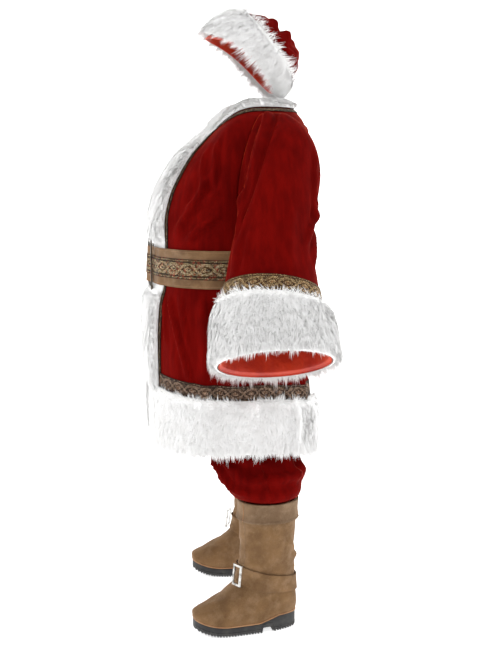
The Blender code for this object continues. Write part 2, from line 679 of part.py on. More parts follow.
def flat_frame(name, finish, outer, bar, thickness, stand, middle_bar=False):
    """A buckle frame: a flat outline with one window, or two with a middle bar, placed by a matrix."""
    width, height = outer
    holes = [(-width / 2 + bar, width / 2 - bar)]
    if middle_bar:
        holes = [(-width / 2 + bar, -bar / 2), (bar / 2, width / 2 - bar)]
    outlines = [(-width / 2, width / 2, -height / 2, height / 2)]
    outlines += [(left, right, -height / 2 + bar, height / 2 - bar) for left, right in holes]
    curve = bpy.data.curves.new(name, "CURVE")
    curve.dimensions = "2D"
    curve.fill_mode = "BOTH"
    curve.extrude = thickness / 2
    for left, right, low, high in outlines:
        spline = curve.splines.new("POLY")
        spline.points.add(3)
        for point, (x, y) in zip(spline.points, ((left, low), (right, low), (right, high), (left, high))):
            point.co = (x, y, 0, 1)
        spline.use_cyclic_u = True
    obj = place(bpy.data.objects.new(name, curve), finish)
    obj.matrix_local = stand
    return obj


def build_boots():
    """Each boot: foot, shaft, fold-over cuff, ankle strap with its buckle, and the lugged sole."""
    foot = [row.height for row in BOOT if row.height < ANKLE_SEAM] + [ANKLE_SEAM - 1.5 * LAYER]
    shaft = [ANKLE_SEAM] + [row.height for row in BOOT if row.height > ANKLE_SEAM]
    over = LEATHER + LAYER
    for word, side in SIDES.items():
        rows = stand_boot([boot_ring(height) for height in foot], side)
        wall("boot_foot_" + word, "leather", rows, LEATHER, closed=True)
        rows = stand_boot([boot_ring(height) for height in shaft], side)
        wall("boot_shaft_" + word, "leather", rows, LEATHER, closed=True)
        cuff = [boot_ring(BOOT_CUFF_BOTTOM, over + 0.006), boot_ring(0.42, over + 0.002), boot_ring(BOOT_TOP, over)]
        wall("boot_cuff_" + word, "leather", stand_boot(cuff, side), LEATHER, closed=True)
        strap = [strap_ring(0.0, over + 0.0025), strap_ring(1.0, over + 0.0025)]
        wall("boot_strap_" + word, "leather", stand_boot(strap, side), LEATHER, closed=True)
        closed_loft("boot_sole_" + word, "rubber", stand_boot(sole_rows(), side))
        build_strap_buckle(word, side)


def build_strap_buckle(word, side):
    """A plain rectangular frame on the strap's front outer corner."""
    turn = math.radians(-70)
    height = (STRAP_FRONT + STRAP_BACK) / 2 - (STRAP_FRONT - STRAP_BACK) / 2 * math.sin(turn)
    seat = 2 * LEATHER + LAYER + 0.0155
    middle = boot_point(height, turn, seat)
    normal = (middle - boot_point(height, turn)).normalized()
    (seat_point, outer_point), = stand_boot([[middle, middle + normal]], side)
    out = (outer_point - seat_point).normalized()
    up = (Vector((0, 0, 1)) - out * out.z).normalized()
    across = up.cross(out)
    stand = Matrix((across, up, out)).transposed().to_4x4()
    stand.translation = seat_point
    flat_frame("boot_buckle_" + word, "silver", (0.034, 0.062), 0.006, 0.004, stand)


def hat_ring(along, out=0.0):
    """A closed ring of the hat, raised at the sides near the rim. Its first point is the wearer's left one."""
    ring = []
    for step in range(HAT_STRIPS):
        turn = 2 * math.pi * step / HAT_STRIPS
        rise = RIM_RISE * math.cos(turn) ** 2 * max(0.0, 1 - along / BRIM_END)
        row = smooth_row(HAT, along + rise)
        top, low = Vector((0, row.top_y, row.top_height)), Vector((0, row.low_y, row.low_height))
        half = (top - low) / 2
        half = half + half.normalized() * out
        side = Vector((row.half_width + out, 0, 0))
        ring.append((top + low) / 2 + side * math.cos(turn) + half * math.sin(turn))
    return ring


def lip_ring(out):
    """The lining's edge, which shows just beyond the brim on the face side."""
    first, second = hat_ring(0.0, out), hat_ring(HAT_LINING_LIP, out)
    return [a + (a - b) for a, b in zip(first, second)]


def build_hat():
    """Crown, fur brim, the lining that shows along its edge, and the folded end."""
    steps = [row.along for row in HAT]
    tip = row_centres([hat_ring(steps[-1])])[0] + Vector((0, 0.006, 0))
    wall("hat_crown", "velvet", [hat_ring(a) for a in steps], CLOTH, closed=True, tip=tip)
    out = CLOTH + LAYER
    brim = [row.along for row in HAT if row.along < BRIM_END] + [BRIM_END]
    fur = [hat_ring(along, out) for along in brim]
    shares = [[share] * HAT_STRIPS for share in (0.5, 0.95, 1.0, 0.95, 0.5)]
    wall("hat_brim_fur", "fur", fur, BRIM_FUR, closed=True, fullness=shares)
    inward = -(LINING + LAYER)
    lining = [lip_ring(inward)] + [hat_ring(a, inward) for a in steps if a <= HAT_LINING_DEPTH]
    wall("hat_lining", "satin", lining, LINING, closed=True)
    build_hat_tail()


def build_hat_tail():
    """The soft end of the hat as a flattened, tapering tube with a closed point."""
    rows = []
    path = [Vector((row.x, row.y, row.height)) for row in HAT_TAIL]
    for index, row in enumerate(HAT_TAIL):
        before, after = path[max(0, index - 1)], path[min(len(path) - 1, index + 1)]
        along = (after - before).normalized()
        wide = (Vector((0, 1, 0)) - along * along.y).normalized()
        thin = along.cross(wide)
        turns = [2 * math.pi * step / TAIL_STRIPS for step in range(TAIL_STRIPS)]
        rows.append([path[index] + wide * row.wide * math.cos(t) + thin * row.thick * math.sin(t) for t in turns])
    tip = path[-1] + (path[-1] - path[-2]).normalized() * 0.012
    wall("hat_tail", "velvet", rows, CLOTH, closed=True, tip=tip)


def belt_row(height, extra):
    """A row of belt points all the way round, this far beyond the strap's inner face."""
    front = [(front_angle(height, row.x), row.stand_off) for row in BELT_FRONT]
    side = [(angle, BELT_SIDE_STAND_OFF) for angle in side_angles_plain(height)[1:]]
    left = front + side
    right = [(math.pi - angle, off) for angle, off in reversed(left)]
    back = [(angle, BELT_SIDE_STAND_OFF) for angle in back_angles_plain()[1:-1]]
    points = [jacket_point(height, angle, off) for angle, off in left + back + right[:-1]]
    moved = []
    for index, point in enumerate(points):
        along = points[(index + 1) % len(points)] - points[index - 1]
        moved.append(point + along.cross(Vector((0, 0, 1))).normalized() * extra)
    return moved


def build_belt():
    """The strap, its braid and the buckle frame with its middle bar."""
    rows = [belt_row(height, 0.0) for height in (BELT_BOTTOM, BELT_TOP)]
    wall("belt_strap", "leather", rows, BELT_LEATHER, closed=True)
    middle = (BELT_BOTTOM + BELT_TOP) / 2
    edges = (middle - BELT_BRAID_WIDTH / 2, middle + BELT_BRAID_WIDTH / 2)
    out = BELT_LEATHER + LAYER
    wall("belt_braid", "brocade", [belt_row(height, out) for height in edges], BRAID, closed=True)
    face = jacket_point(middle, front_angle(middle, BELT_FRONT[3].x), BELT_FRONT[3].stand_off + BELT_LEATHER).y
    stand = Matrix.Rotation(math.radians(90), 4, "X")
    depth = BRAID + 3 * LAYER + BUCKLE_THICKNESS / 2
    stand.translation = Vector((0, face - depth, middle))
    outer = (BUCKLE_WIDTH, BUCKLE_HEIGHT)
    flat_frame("belt_buckle", "bronze", outer, BUCKLE_BAR, BUCKLE_THICKNESS, stand, middle_bar=True)


clear_scene()
suit = new_collection("santa_suit")
wearer = bpy.data.objects.new("wearer", None)
suit.objects.link(wearer)
wearer.location = (0, 0, -SHOULDER_HEIGHT)
build_jacket_panels()
build_front_trim()
build_hem_and_collar_trim()
build_sleeves()
build_trousers()
build_boots()
build_hat()
build_belt()
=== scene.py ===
"""Looks of the santa suit: pile, folds, fur, braid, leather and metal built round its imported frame.

Metres, +Z up, front towards -Y, the wearer's left at +X. Heights in the size tables are above a level 42 mm
under the soles, and every surface is lowered so that the shoulder line is at zero. Each cloth surface is a
Cloth: a place for two numbers, one across the piece and one along it, with the folds that lift it. Panels,
trims and fur are grids and hairs laid on that same surface, so they follow one another.
"""

import logging
import math
from dataclasses import dataclass, field
from enum import Enum
from typing import Any, Callable

import bmesh
import bpy
import numpy as np
from mathutils import Matrix, Vector

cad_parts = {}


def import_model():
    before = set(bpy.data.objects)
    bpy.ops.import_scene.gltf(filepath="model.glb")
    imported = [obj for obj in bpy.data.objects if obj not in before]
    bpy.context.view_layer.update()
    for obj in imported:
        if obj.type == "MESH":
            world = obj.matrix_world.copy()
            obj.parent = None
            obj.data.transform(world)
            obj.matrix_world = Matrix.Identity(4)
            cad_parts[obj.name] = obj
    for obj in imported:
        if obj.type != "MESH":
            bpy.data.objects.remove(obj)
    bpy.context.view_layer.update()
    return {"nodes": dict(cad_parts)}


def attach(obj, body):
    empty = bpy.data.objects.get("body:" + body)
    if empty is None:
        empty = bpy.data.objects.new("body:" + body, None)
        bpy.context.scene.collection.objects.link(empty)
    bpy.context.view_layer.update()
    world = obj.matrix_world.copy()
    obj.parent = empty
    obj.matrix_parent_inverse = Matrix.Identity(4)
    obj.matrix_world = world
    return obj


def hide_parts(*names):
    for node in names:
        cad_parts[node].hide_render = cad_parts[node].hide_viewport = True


Array = np.ndarray
Socket = bpy.types.NodeSocket
Place = Callable[[Array, Array], Array]
Region = Callable[[Array, Array], tuple[Array, Array]]

log = logging.getLogger("santa_suit")

BODY = "root"
SHOULDER_HEIGHT = 1.52
SOLE_BOTTOM = 0.042
STEP = 1e-3
FOLD_HEIGHT = 1.45  # how much the folds' tables are raised
FULL_TURN = 2 * math.pi

# Walls and gaps, as in the frame
CLOTH = 0.002
LINING = 0.001
BRAID = 0.0015
LEATHER = 0.003
BELT_LEATHER = 0.004
SEAM = 0.0003
LAYER = 0.001


class Side(Enum):
    """The wearer's left at +X or right at -X."""

    LEFT = 1
    RIGHT = -1

    @property
    def word(self) -> str:
        """The side's name at the end of a piece's name."""
        return self.name.lower()


# ---------------------------------------------------------------- surfaces


@dataclass(frozen=True)
class SizeTable:
    """Rows of sizes that blend by monotone cubics along their first column."""

    rows: tuple[tuple[float, ...], ...]

    def at(self, keys: Array) -> Array:
        """Blends the rows.

        Args:
            keys: Values of the first column.

        Returns:
            One array for each column, shaped as keys.
        """
        data = np.array(self.rows, float)
        knots = data[:, 0]
        secants = np.diff(data, axis=0) / np.diff(knots)[:, None]
        before, after = secants[:-1], secants[1:]
        same = before * after > 0
        total = np.where(same, before + after, 1.0)
        slopes = np.concatenate([secants[:1], np.where(same, 2 * before * after / total, 0.0), secants[-1:]])
        keys = np.asarray(keys, float)
        index = np.clip(np.searchsorted(knots, keys) - 1, 0, len(knots) - 2)
        span = (knots[index + 1] - knots[index])[..., None]
        t = (keys - knots[index])[..., None] / span
        rise = 3 * t**2 - 2 * t**3
        values = data[index] * (1 - rise) + data[index + 1] * rise
        values = values + span * slopes[index] * (t**3 - 2 * t**2 + t)
        values = values + span * slopes[index + 1] * (t**3 - t**2)
        return np.moveaxis(values, -1, 0)


def power(value: Array, exponent: float) -> Array:
    """A signed power."""
    return np.sign(value) * np.abs(value) ** exponent


def eased(value: Array) -> Array:
    """0 below 0, 1 above 1 and a smooth step between."""
    t = np.clip(value, 0.0, 1.0)
    return t * t * (3 - 2 * t)


def unit(vectors: Array) -> Array:
    """Vectors scaled to length one."""
    return vectors / np.maximum(np.linalg.norm(vectors, axis=-1, keepdims=True), 1e-12)


def scatter(first: Array, second: Array, salt: float) -> Array:
    """A repeatable value from 0 to 1 for each pair of numbers."""
    mixed = np.sin(first * 12.9898 + second * 78.233 + salt * 37.719) * 43758.5453
    return mixed - np.floor(mixed)


@dataclass(frozen=True)
class Fold:
    """A soft crease: a ridge from start to end with a shallower trough on each side of it.

    Places are (across, along) on the cloth, across in radians. Width and depth are in metres. A negative
    depth makes a furrow, and bow pushes the middle of the crease sideways.
    """

    start: tuple[float, float]
    end: tuple[float, float]
    width: float
    depth: float
    bow: float = 0.0
    trough: float = 0.55

    def lift(self, across: Array, along: Array, girth: float) -> Array:
        """How far the crease lifts each place.

        Args:
            across: Turns round the cloth.
            along: Metres along it.
            girth: Metres for one radian of across.

        Returns:
            Metres outward.
        """
        turned = (across - self.start[0] + math.pi) % FULL_TURN - math.pi
        end = np.array([(self.end[0] - self.start[0]) * girth, self.end[1] - self.start[1]])
        length = np.linalg.norm(end)
        ahead = end / length
        x, y = turned * girth, along - self.start[1]
        run = (x * ahead[0] + y * ahead[1]) / length
        off = -x * ahead[1] + y * ahead[0] - self.bow * 4 * run * (1 - run)
        fade = eased(run / 0.22 + 0.35) * eased((1 - run) / 0.3 + 0.35)
        ridge = np.exp(-((off / self.width) ** 2))
        low = np.exp(-(((off - 1.7 * self.width) / (1.1 * self.width)) ** 2))
        high = np.exp(-(((off + 2.0 * self.width) / (1.4 * self.width)) ** 2))
        return self.depth * fade * (ridge - self.trough * low - 0.6 * self.trough * high)


def folds(*rows: tuple[float, ...]) -> tuple[Fold, ...]:
    """Folds from rows of their start, end, width, depth and what else is given."""
    return tuple(Fold(row[:2], row[2:4], *row[4:]) for row in rows)


@dataclass(frozen=True)
class Cloth:
    """A surface with its folds. outside is 1 where across crossed with along points outward, else -1."""

    place: Place
    girth: float
    folds: tuple[Fold, ...] = ()
    slack: float = 0.0
    outside: int = 1
    pressed: Callable[[Array, Array], Array] | None = None

    def axes(self, across: Array, along: Array) -> tuple[Array, Array, Array]:
        """Unit directions over the cloth, along it and out of it."""
        over = self.place(across + STEP, along) - self.place(across - STEP, along)
        ahead = self.place(across, along + STEP) - self.place(across, along - STEP)
        return unit(over), unit(ahead), unit(np.cross(over, ahead)) * self.outside

    def relief(self, across: Array, along: Array) -> Array:
        """How far folds and slack lift each place."""
        lift = np.zeros(np.broadcast(across, along).shape)
        for fold in self.folds:
            lift = lift + FOLD_HEIGHT * fold.lift(across, along, self.girth)
        if self.slack:
            x, y, z = np.moveaxis(self.place(across, along), -1, 0)
            waves = np.sin(19 * x + 7 * z + 1.3) + np.sin(23 * y - 11 * z + 0.4)
            waves = waves + np.sin(13 * z + 17 * x - 9 * y)
            fine = np.sin(47 * x - 31 * z + 2.1) * np.sin(39 * y + 27 * z)
            lift = lift + self.slack * (0.45 * waves + 0.35 * fine)
        if self.pressed is not None:
            lift = lift * self.pressed(across, along)
        return lift

    def points(self, across: Array, along: Array, out: float | Array = 0.0) -> Array:
        """Places on the folded cloth, moved out from it."""
        base = self.place(across, along)
        lift = self.relief(across, along) + out
        return base + self.axes(across, along)[2] * lift[..., None]


def oval(
    half_width: Array, front: Array, back: Array, middle: Array, turn: Array, squareness: float
) -> Array:
    """X and Y on a closed section. Turn 0 is its +X side, -90 degrees its front and 90 its back."""
    depth = np.sin(turn)
    reach = np.where(depth > 0, back - middle, middle - front)
    sideways = half_width * power(np.cos(turn), squareness)
    return np.stack([sideways, middle + reach * power(depth, squareness)], -1)


# ---------------------------------------------------------------- meshes


@dataclass(frozen=True)
class Grid:
    """Points in rows along a piece, with its map coordinates in metres."""

    points: Array
    closed: bool = False
    flip: bool = False
    uv: Array | None = None

    def quads(self) -> Array:
        """The faces, as four point numbers each."""
        rows, columns = self.points.shape[:2]
        last = columns if self.closed else columns - 1
        row, column = np.meshgrid(np.arange(rows - 1), np.arange(last), indexing="ij")
        after = (column + 1) % columns
        corners = [row * columns + column, row * columns + after]
        corners += [(row + 1) * columns + after, (row + 1) * columns + column]
        faces = np.stack([c.ravel() for c in corners], 1)
        return faces[:, ::-1] if self.flip else faces

    def lengths(self) -> tuple[float, float]:
        """The longest row and the longest column, in metres."""
        rows = np.concatenate([self.points, self.points[:, :1]], 1) if self.closed else self.points
        over = np.linalg.norm(np.diff(rows, axis=1), axis=2).sum(1).max()
        ahead = np.linalg.norm(np.diff(self.points, axis=0), axis=2).sum(0).max()
        return float(over), float(ahead)

    def area(self) -> float:
        """Square metres."""
        flat = self.points.reshape(-1, 3)
        a, b, c, d = (flat[self.quads()[:, k]] for k in range(4))
        return float(0.5 * np.linalg.norm(np.cross(c - a, d - b), axis=1).sum())

    def mirrored(self) -> "Grid":
        """The same grid for the wearer's other side."""
        return Grid(self.points * np.array([-1, 1, 1]), self.closed, not self.flip, self.uv)


def metre_map(points: Array) -> Array:
    """Map coordinates that run in metres across and along a grid."""
    over = np.linalg.norm(np.diff(points, axis=1), axis=2)
    ahead = np.linalg.norm(np.diff(points, axis=0), axis=2).mean(1)
    u = np.concatenate([np.zeros((len(points), 1)), np.cumsum(over, 1)], 1)
    v = np.concatenate([[0.0], np.cumsum(ahead)])
    return np.stack([u, np.broadcast_to(v[:, None], u.shape)], -1)


def new_piece(name: str, points: Array, faces: Array, material: bpy.types.Material) -> bpy.types.Object:
    """A smooth mesh object that rides on the suit.

    Args:
        name: The piece's name.
        points: Its points, in rows of three.
        faces: Its faces, as point numbers.
        material: Its finish.

    Returns:
        The object, linked into the scene.
    """
    mesh = bpy.data.meshes.new(name)
    mesh.from_pydata(points.reshape(-1, 3).tolist(), [], faces.tolist())
    mesh.shade_smooth()
    mesh.materials.append(material)
    piece = bpy.data.objects.new(name, mesh)
    bpy.context.scene.collection.objects.link(piece)
    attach(piece, BODY)
    return piece


def cloth_piece(name: str, grid: Grid, thickness: float, material: bpy.types.Material) -> bpy.types.Object:
    """A wall that grows outward from a grid, with a map in metres for its weave.

    Args:
        name: The piece's name.
        grid: Its inner surface.
        thickness: Its wall.
        material: Its finish.

    Returns:
        The object.
    """
    faces = grid.quads()
    piece = new_piece(name + "_cloth", grid.points, faces, material)
    uv = metre_map(grid.points) if grid.uv is None else grid.uv
    layer = piece.data.uv_layers.new(name="cloth")
    flat = uv.reshape(-1, 2)[faces].copy()
    if grid.closed:
        columns = grid.points.shape[1]
        over = np.linalg.norm(grid.points[:, 0] - grid.points[:, -1], axis=1)
        seam = (faces % columns == 0) & ((faces % columns).max(1) == columns - 1)[:, None]
        wrapped = uv[:, -1, 0] + over
        flat[..., 0] = np.where(seam, wrapped[faces // columns], flat[..., 0])
    layer.uv.foreach_set("vector", flat.astype(np.float32).ravel())
    wall = piece.modifiers.new("wall", "SOLIDIFY")
    wall.thickness = thickness
    wall.offset = 1.0
    return piece


def declare_cloth(piece: bpy.types.Object, cut: Grid, held: str, rests_on: list[str], **more: Any) -> None:
    """Logs the cut that a sheet's smooth, unfolded surface measures.

    Args:
        piece: The cloth.
        cut: The grid of its smooth surface.
        held: How it is held. Not used.
        rests_on: What it lies on or hangs from. Not used.
    """
    width, length = cut.lengths()
    area = cut.area()
    log.info("%s: cut %.3f by %.3f m, %.4f square metres", piece.name, width, length, area)
    area = min(area, width * length)


@dataclass(frozen=True)
class Sewn:
    """How a cloth piece is made: its wall and material, with a slot, a hold and what it rests on, which nothing
    uses.
    """

    wall: float
    material: bpy.types.Material
    slot: str
    held: str
    rests_on: list[str]

    def make(self, name: str, grid: Grid, cut: Grid) -> bpy.types.Object:
        """Args:
            name: The node's name.
            grid: The piece's inner surface.
            cut: The grid of its smooth surface.

        Returns:
            The object.
        """
        piece = cloth_piece(name, grid, self.wall, self.material)
        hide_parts(name)
        declare_cloth(piece, cut, self.held, self.rests_on)
        return piece


def rounded(piece: bpy.types.Object, width: float, segments: int = 2, sharp_only: bool = True) -> None:
    """Rounds a piece's edges."""
    edge = piece.modifiers.new("edge", "BEVEL")
    edge.width = width
    edge.segments = segments
    if sharp_only:
        edge.limit_method = "ANGLE"


def polished(node: bpy.types.Object, material: bpy.types.Material) -> None:
    """Gives one of the frame's own metal pieces its finish and rounded edges."""
    node.data.materials.clear()
    node.data.materials.append(material)
    rounded(node, 0.0012, 3, sharp_only=False)


def round_turns(columns: int) -> Array:
    """Even turns round a closed piece."""
    return np.linspace(0, FULL_TURN, columns, endpoint=False)


# ---------------------------------------------------------------- fur


BORDER = 0.20  # the share of a trim over which its height falls off at an edge
CROWDING = 1 / 7.5  # how far the backing's columns and rows crowd towards its edges
SHELL_EDGE, HAIR_EDGE = 0.2, 0.62  # heights left at the very edge, as shares
ROOTED = 0.85  # how high in the backing the hairs have their roots


@dataclass(frozen=True)
class Hair:
    """How a fur trim's pile grows.

    depth is how far it stands, tuft the size of its clumps, rise the angle at which hairs leave the backing,
    and fall their direction (across, along). count is the number of hairs and seed keeps them the same each
    run.
    """

    depth: float
    count: int
    seed: int
    fall: tuple[float, float] = (0.0, -1.0)
    tuft: float = 0.009
    rise: float = math.radians(34)
    width: float = 0.0015
    loft: float = 0.68


@dataclass(frozen=True)
class Pelt:
    """A fur trim: a backing shell on its cloth and the hairs that stand on it."""

    name: str
    cloth: Cloth
    region: Region
    hair: Hair
    grid: tuple[int, int]
    seat: float
    closed: bool = False
    side: Side = Side.LEFT
    fullness: Callable[[Array, Array], Array] | None = None

    def full(self, s: Array, t: Array, edge: float = SHELL_EDGE) -> Array:
        """The trim's height as a share of its depth at shares s and t, from edge at its border."""
        ends = np.clip(np.minimum(t, 1 - t) / BORDER, 0, 1)
        shape = edge + (1 - edge) * np.sqrt(ends * (2 - ends))
        if not self.closed:
            sides = np.clip(np.minimum(s, 1 - s) / BORDER, 0, 1)
            shape = shape * (edge + (1 - edge) * np.sqrt(sides * (2 - sides)))
        if self.fullness is not None:
            across, along = self.region(s, t)
            shape = shape * self.fullness(across, along)
        return shape

    def surface(self, smooth: bool = False) -> Grid:
        """The backing's grid, or the smooth cloth under it."""
        columns, rows = self.grid
        shares = [np.linspace(0, 1, columns, endpoint=not self.closed), np.linspace(0, 1, rows)]
        crowded = [share - np.sin(FULL_TURN * share) * CROWDING for share in shares]
        s, t = np.meshgrid(shares[0] if self.closed else crowded[0], crowded[1])
        across, along = self.region(s, t)
        if smooth:
            points = self.cloth.place(across, along)
        else:
            raised = self.hair.depth * self.hair.loft * self.full(s, t)
            points = self.cloth.points(across, along, self.seat + raised)
        made = Grid(points, self.closed, flip=self.cloth.outside < 0)
        return made.mirrored() if self.side is Side.RIGHT else made

    def hairs(self) -> tuple[Array, Array, Array]:
        """The hairs as slim blades.

        Returns:
            Their points, faces and the direction in which each point faces.
        """
        hair = self.hair
        random = np.random.default_rng(hair.seed)
        s, t = random.random(hair.count), random.random(hair.count)
        across, along = self.region(s, t)
        over, ahead, normal = self.cloth.axes(across, along)
        full = self.full(s, t)
        root = self.cloth.points(across, along, self.seat + hair.depth * hair.loft * full * ROOTED)
        width, length = self.surface(smooth=True).lengths()
        x, y = s * width, t * length
        column, row = np.floor(x / hair.tuft), np.floor(y / hair.tuft)
        chance = [scatter(column, row, salt) for salt in range(5)]
        pull_x = (column + 0.2 + 0.6 * chance[0]) * hair.tuft - x
        pull_y = (row + 0.2 + 0.6 * chance[1]) * hair.tuft - y
        swirl = np.sin(31 * x + 17 * y + hair.seed) + np.sin(43 * y - 23 * x + 1.7) + np.sin(11 * x - 37 * y)
        turn = 0.15 * swirl + 0.5 * (chance[2] - 0.5) + 0.5 * (random.random(hair.count) - 0.5)
        fall_x = hair.fall[0] * np.cos(turn) - hair.fall[1] * np.sin(turn)
        fall_y = hair.fall[0] * np.sin(turn) + hair.fall[1] * np.cos(turn)
        fall_y = fall_y + 2.0 * np.exp(-(1 - t) / 0.06) - 1.5 * np.exp(-t / 0.06)
        if not self.closed:
            fall_x = fall_x + 0.9 * np.exp(-(1 - s) / 0.10) - 0.5 * np.exp(-s / 0.10)
        flat = unit(over * fall_x[:, None] + ahead * fall_y[:, None])
        rise = hair.rise + 0.35 * (chance[3] - 0.5) + 0.3 * (random.random(hair.count) - 0.5)
        uneven = 0.78 + 0.3 * chance[4] + 0.2 * random.random(hair.count)
        tall = hair.depth * self.full(s, t, HAIR_EDGE) * (1 - ROOTED * hair.loft) * uneven
        reach = tall / np.sin(rise)
        lower = unit(flat * np.cos(rise + 0.3)[:, None] + normal * np.sin(rise + 0.3)[:, None])
        upper = unit(flat * np.cos(rise - 0.25)[:, None] + normal * np.sin(rise - 0.25)[:, None])
        pull = over * pull_x[:, None] + ahead * pull_y[:, None]
        middle = root + lower * (0.45 * reach)[:, None] + pull * 0.1
        tip = middle + upper * (0.6 * reach)[:, None] + pull * 0.2
        wide = unit(np.cross(flat, normal))
        lean = 0.9 * (random.random(hair.count) - 0.5)
        wide = unit(wide * np.cos(lean)[:, None] + normal * np.sin(lean)[:, None])
        half = (hair.width * (0.35 + 0.3 * random.random(hair.count)))[:, None]
        slim, slimmer = wide * half, wide * half * 0.8
        points = np.stack([root - slim, root + slim, middle - slimmer, middle + slimmer, tip], 1)
        facing = np.stack([unit(normal + 0.1 * upper)] * 4 + [unit(normal + 0.25 * upper)], 1)
        first = np.arange(hair.count)[:, None] * 5
        faces = np.concatenate([first + [0, 1, 3], first + [0, 3, 2], first + [2, 3, 4]], 1).reshape(-1, 3)
        if self.side is Side.RIGHT:
            points, facing, faces = points * [-1, 1, 1], facing * [-1, 1, 1], faces[:, ::-1]
        return points.reshape(-1, 3), faces, facing.reshape(-1, 3)

    def build(self, finish: "FurFinish", rests_on: list[str]) -> None:
        """Args:
            finish: The fur's finish.
            rests_on: What the trim is sewn to. Not used.
        """
        shell = FurShellFinish(finish.effects).material("fur_backing")
        backing = cloth_piece(self.name, self.surface(), CLOTH, shell)
        points, faces, facing = self.hairs()
        pile = new_piece(self.name + "_pile", points, faces, finish.material("fur_hair"))
        pile.data.normals_split_custom_set_from_vertices(facing.tolist())
        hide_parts(self.name)
        declare_cloth(backing, self.surface(smooth=True), "stretched", rests_on, with_pieces=[pile])
        log.info("%s: %d hairs", self.name, self.hair.count)


# ---------------------------------------------------------------- shader effects


class Web:
    """A node tree with short calls for adding and joining its nodes."""

    def __init__(self, tree: bpy.types.NodeTree) -> None:
        """Keeps the tree."""
        self.tree = tree

    def add(self, kind: str, sockets: dict[str | int, Any] | None = None, **settings: Any) -> bpy.types.Node:
        """Adds a node.

        Args:
            kind: The node's type, without its ShaderNode prefix.
            sockets: Values or other sockets for its inputs.
            settings: The node's own properties.

        Returns:
            The node.
        """
        node = self.tree.nodes.new("ShaderNode" + kind)
        for name, value in settings.items():
            setattr(node, name, value)
        self.feed(node, sockets or {})
        return node

    def feed(self, node: bpy.types.Node, sockets: dict[str | int, Any]) -> None:
        """Sets a node's inputs, or joins them to other sockets."""
        for name, value in sockets.items():
            if isinstance(value, Socket):
                self.tree.links.new(value, node.inputs[name])
            else:
                node.inputs[name].default_value = value

    def effect(self, tree: bpy.types.NodeTree, sockets: dict[str, Any]) -> Any:
        """The outputs of an effect placed here."""
        return self.add("Group", sockets, node_tree=tree).outputs

    def math(self, operation: str, first: Any, second: Any = 0.0, third: Any = 0.0) -> Socket:
        """The result of a Math node."""
        return self.add("Math", {0: first, 1: second, 2: third}, operation=operation).outputs[0]

    def times(self, first: Any, second: Any, plus: Any = 0.0) -> Socket:
        """Two values multiplied, and a third added."""
        return self.math("MULTIPLY_ADD", first, second, plus)

    def ramp(self, value: Any, low: Any, high: Any, start: float = 0.0, end: float = 1.0) -> Socket:
        """A smooth step from start to end as value goes from low to high."""
        sockets = {"Value": value, "From Min": low, "From Max": high, "To Min": start, "To Max": end}
        return self.add("MapRange", sockets, interpolation_type="SMOOTHSTEP").outputs["Result"]

    def mix(self, share: Any, first: Any, second: Any, blend: str = "MIX") -> Socket:
        """Two colours mixed."""
        sockets = {0: share}
        for index, value in ((6, first), (7, second)):
            sockets[index] = value if isinstance(value, Socket) else (*value, 1.0)
        return self.add("Mix", sockets, data_type="RGBA", blend_type=blend).outputs[2]

    def noise(self, vector: Any, scale: Any, detail: float = 3.0, roughness: float = 0.5) -> Socket:
        """A noise value from 0 to 1."""
        sockets = {"Vector": vector, "Scale": scale, "Detail": detail, "Roughness": roughness}
        return self.add("TexNoise", sockets).outputs["Fac"]

    def bump(self, height: Any, distance: float, strength: float = 1.0, normal: Any = None) -> Socket:
        """A Bump node's normal."""
        sockets = {"Height": height, "Distance": distance, "Strength": strength}
        if normal is not None:
            sockets["Normal"] = normal
        return self.add("Bump", sockets).outputs["Normal"]


class Effect:
    """A shader node group with named inputs and outputs."""

    def __init__(self, name: str, inputs: dict[str, float | None], outputs: tuple[str, ...]) -> None:
        """Makes the group's tree and sockets.

        Args:
            name: The group's name.
            inputs: Each input's first value, or None for a vector.
            outputs: The names of its values that come out.
        """
        self.tree = bpy.data.node_groups.new(name, "ShaderNodeTree")
        for title, value in inputs.items():
            kind = "NodeSocketVector" if value is None else "NodeSocketFloat"
            socket = self.tree.interface.new_socket(title, in_out="INPUT", socket_type=kind)
            if value is not None:
                socket.default_value = value
        for title in outputs:
            self.tree.interface.new_socket(title, in_out="OUTPUT", socket_type="NodeSocketFloat")
        self.web = Web(self.tree)
        self.ins = self.tree.nodes.new("NodeGroupInput").outputs
        self.outs = self.tree.nodes.new("NodeGroupOutput").inputs

    def give(self, title: str, value: Socket) -> None:
        """Joins a value to an output."""
        self.tree.links.new(value, self.outs[title])


def cloud_effect() -> bpy.types.NodeTree:
    """Soft patches and fine nap, for pile, suede and fur: Patch is broad, Nap is fine."""
    made = Effect("clouded_nap", {"Place": None, "Patch Scale": 12.0, "Nap Scale": 400.0}, ("Patch", "Nap"))
    place = made.ins["Place"]
    broad = made.web.noise(place, made.ins["Patch Scale"], 4.0, 0.55)
    made.give("Patch", made.web.ramp(broad, 0.32, 0.68))
    made.give("Nap", made.web.noise(place, made.ins["Nap Scale"], 2.0, 0.6))
    return made.tree


def grain_effect() -> bpy.types.NodeTree:
    """Leather's pebbles and creases, with worn patches."""
    made = Effect("leather_grain", {"Place": None, "Scale": 260.0, "Wear Scale": 14.0}, ("Height", "Wear"))
    web, place = made.web, made.ins["Place"]
    cells = web.add("TexVoronoi", {"Vector": place, "Scale": made.ins["Scale"]}, feature="SMOOTH_F1")
    fine = web.noise(place, web.times(made.ins["Scale"], 2.2), 3.0, 0.6)
    made.give("Height", web.times(cells.outputs["Distance"], 0.7, web.times(fine, 0.5)))
    made.give("Wear", web.ramp(web.noise(place, made.ins["Wear Scale"], 6.0, 0.65), 0.42, 0.72))
    return made.tree


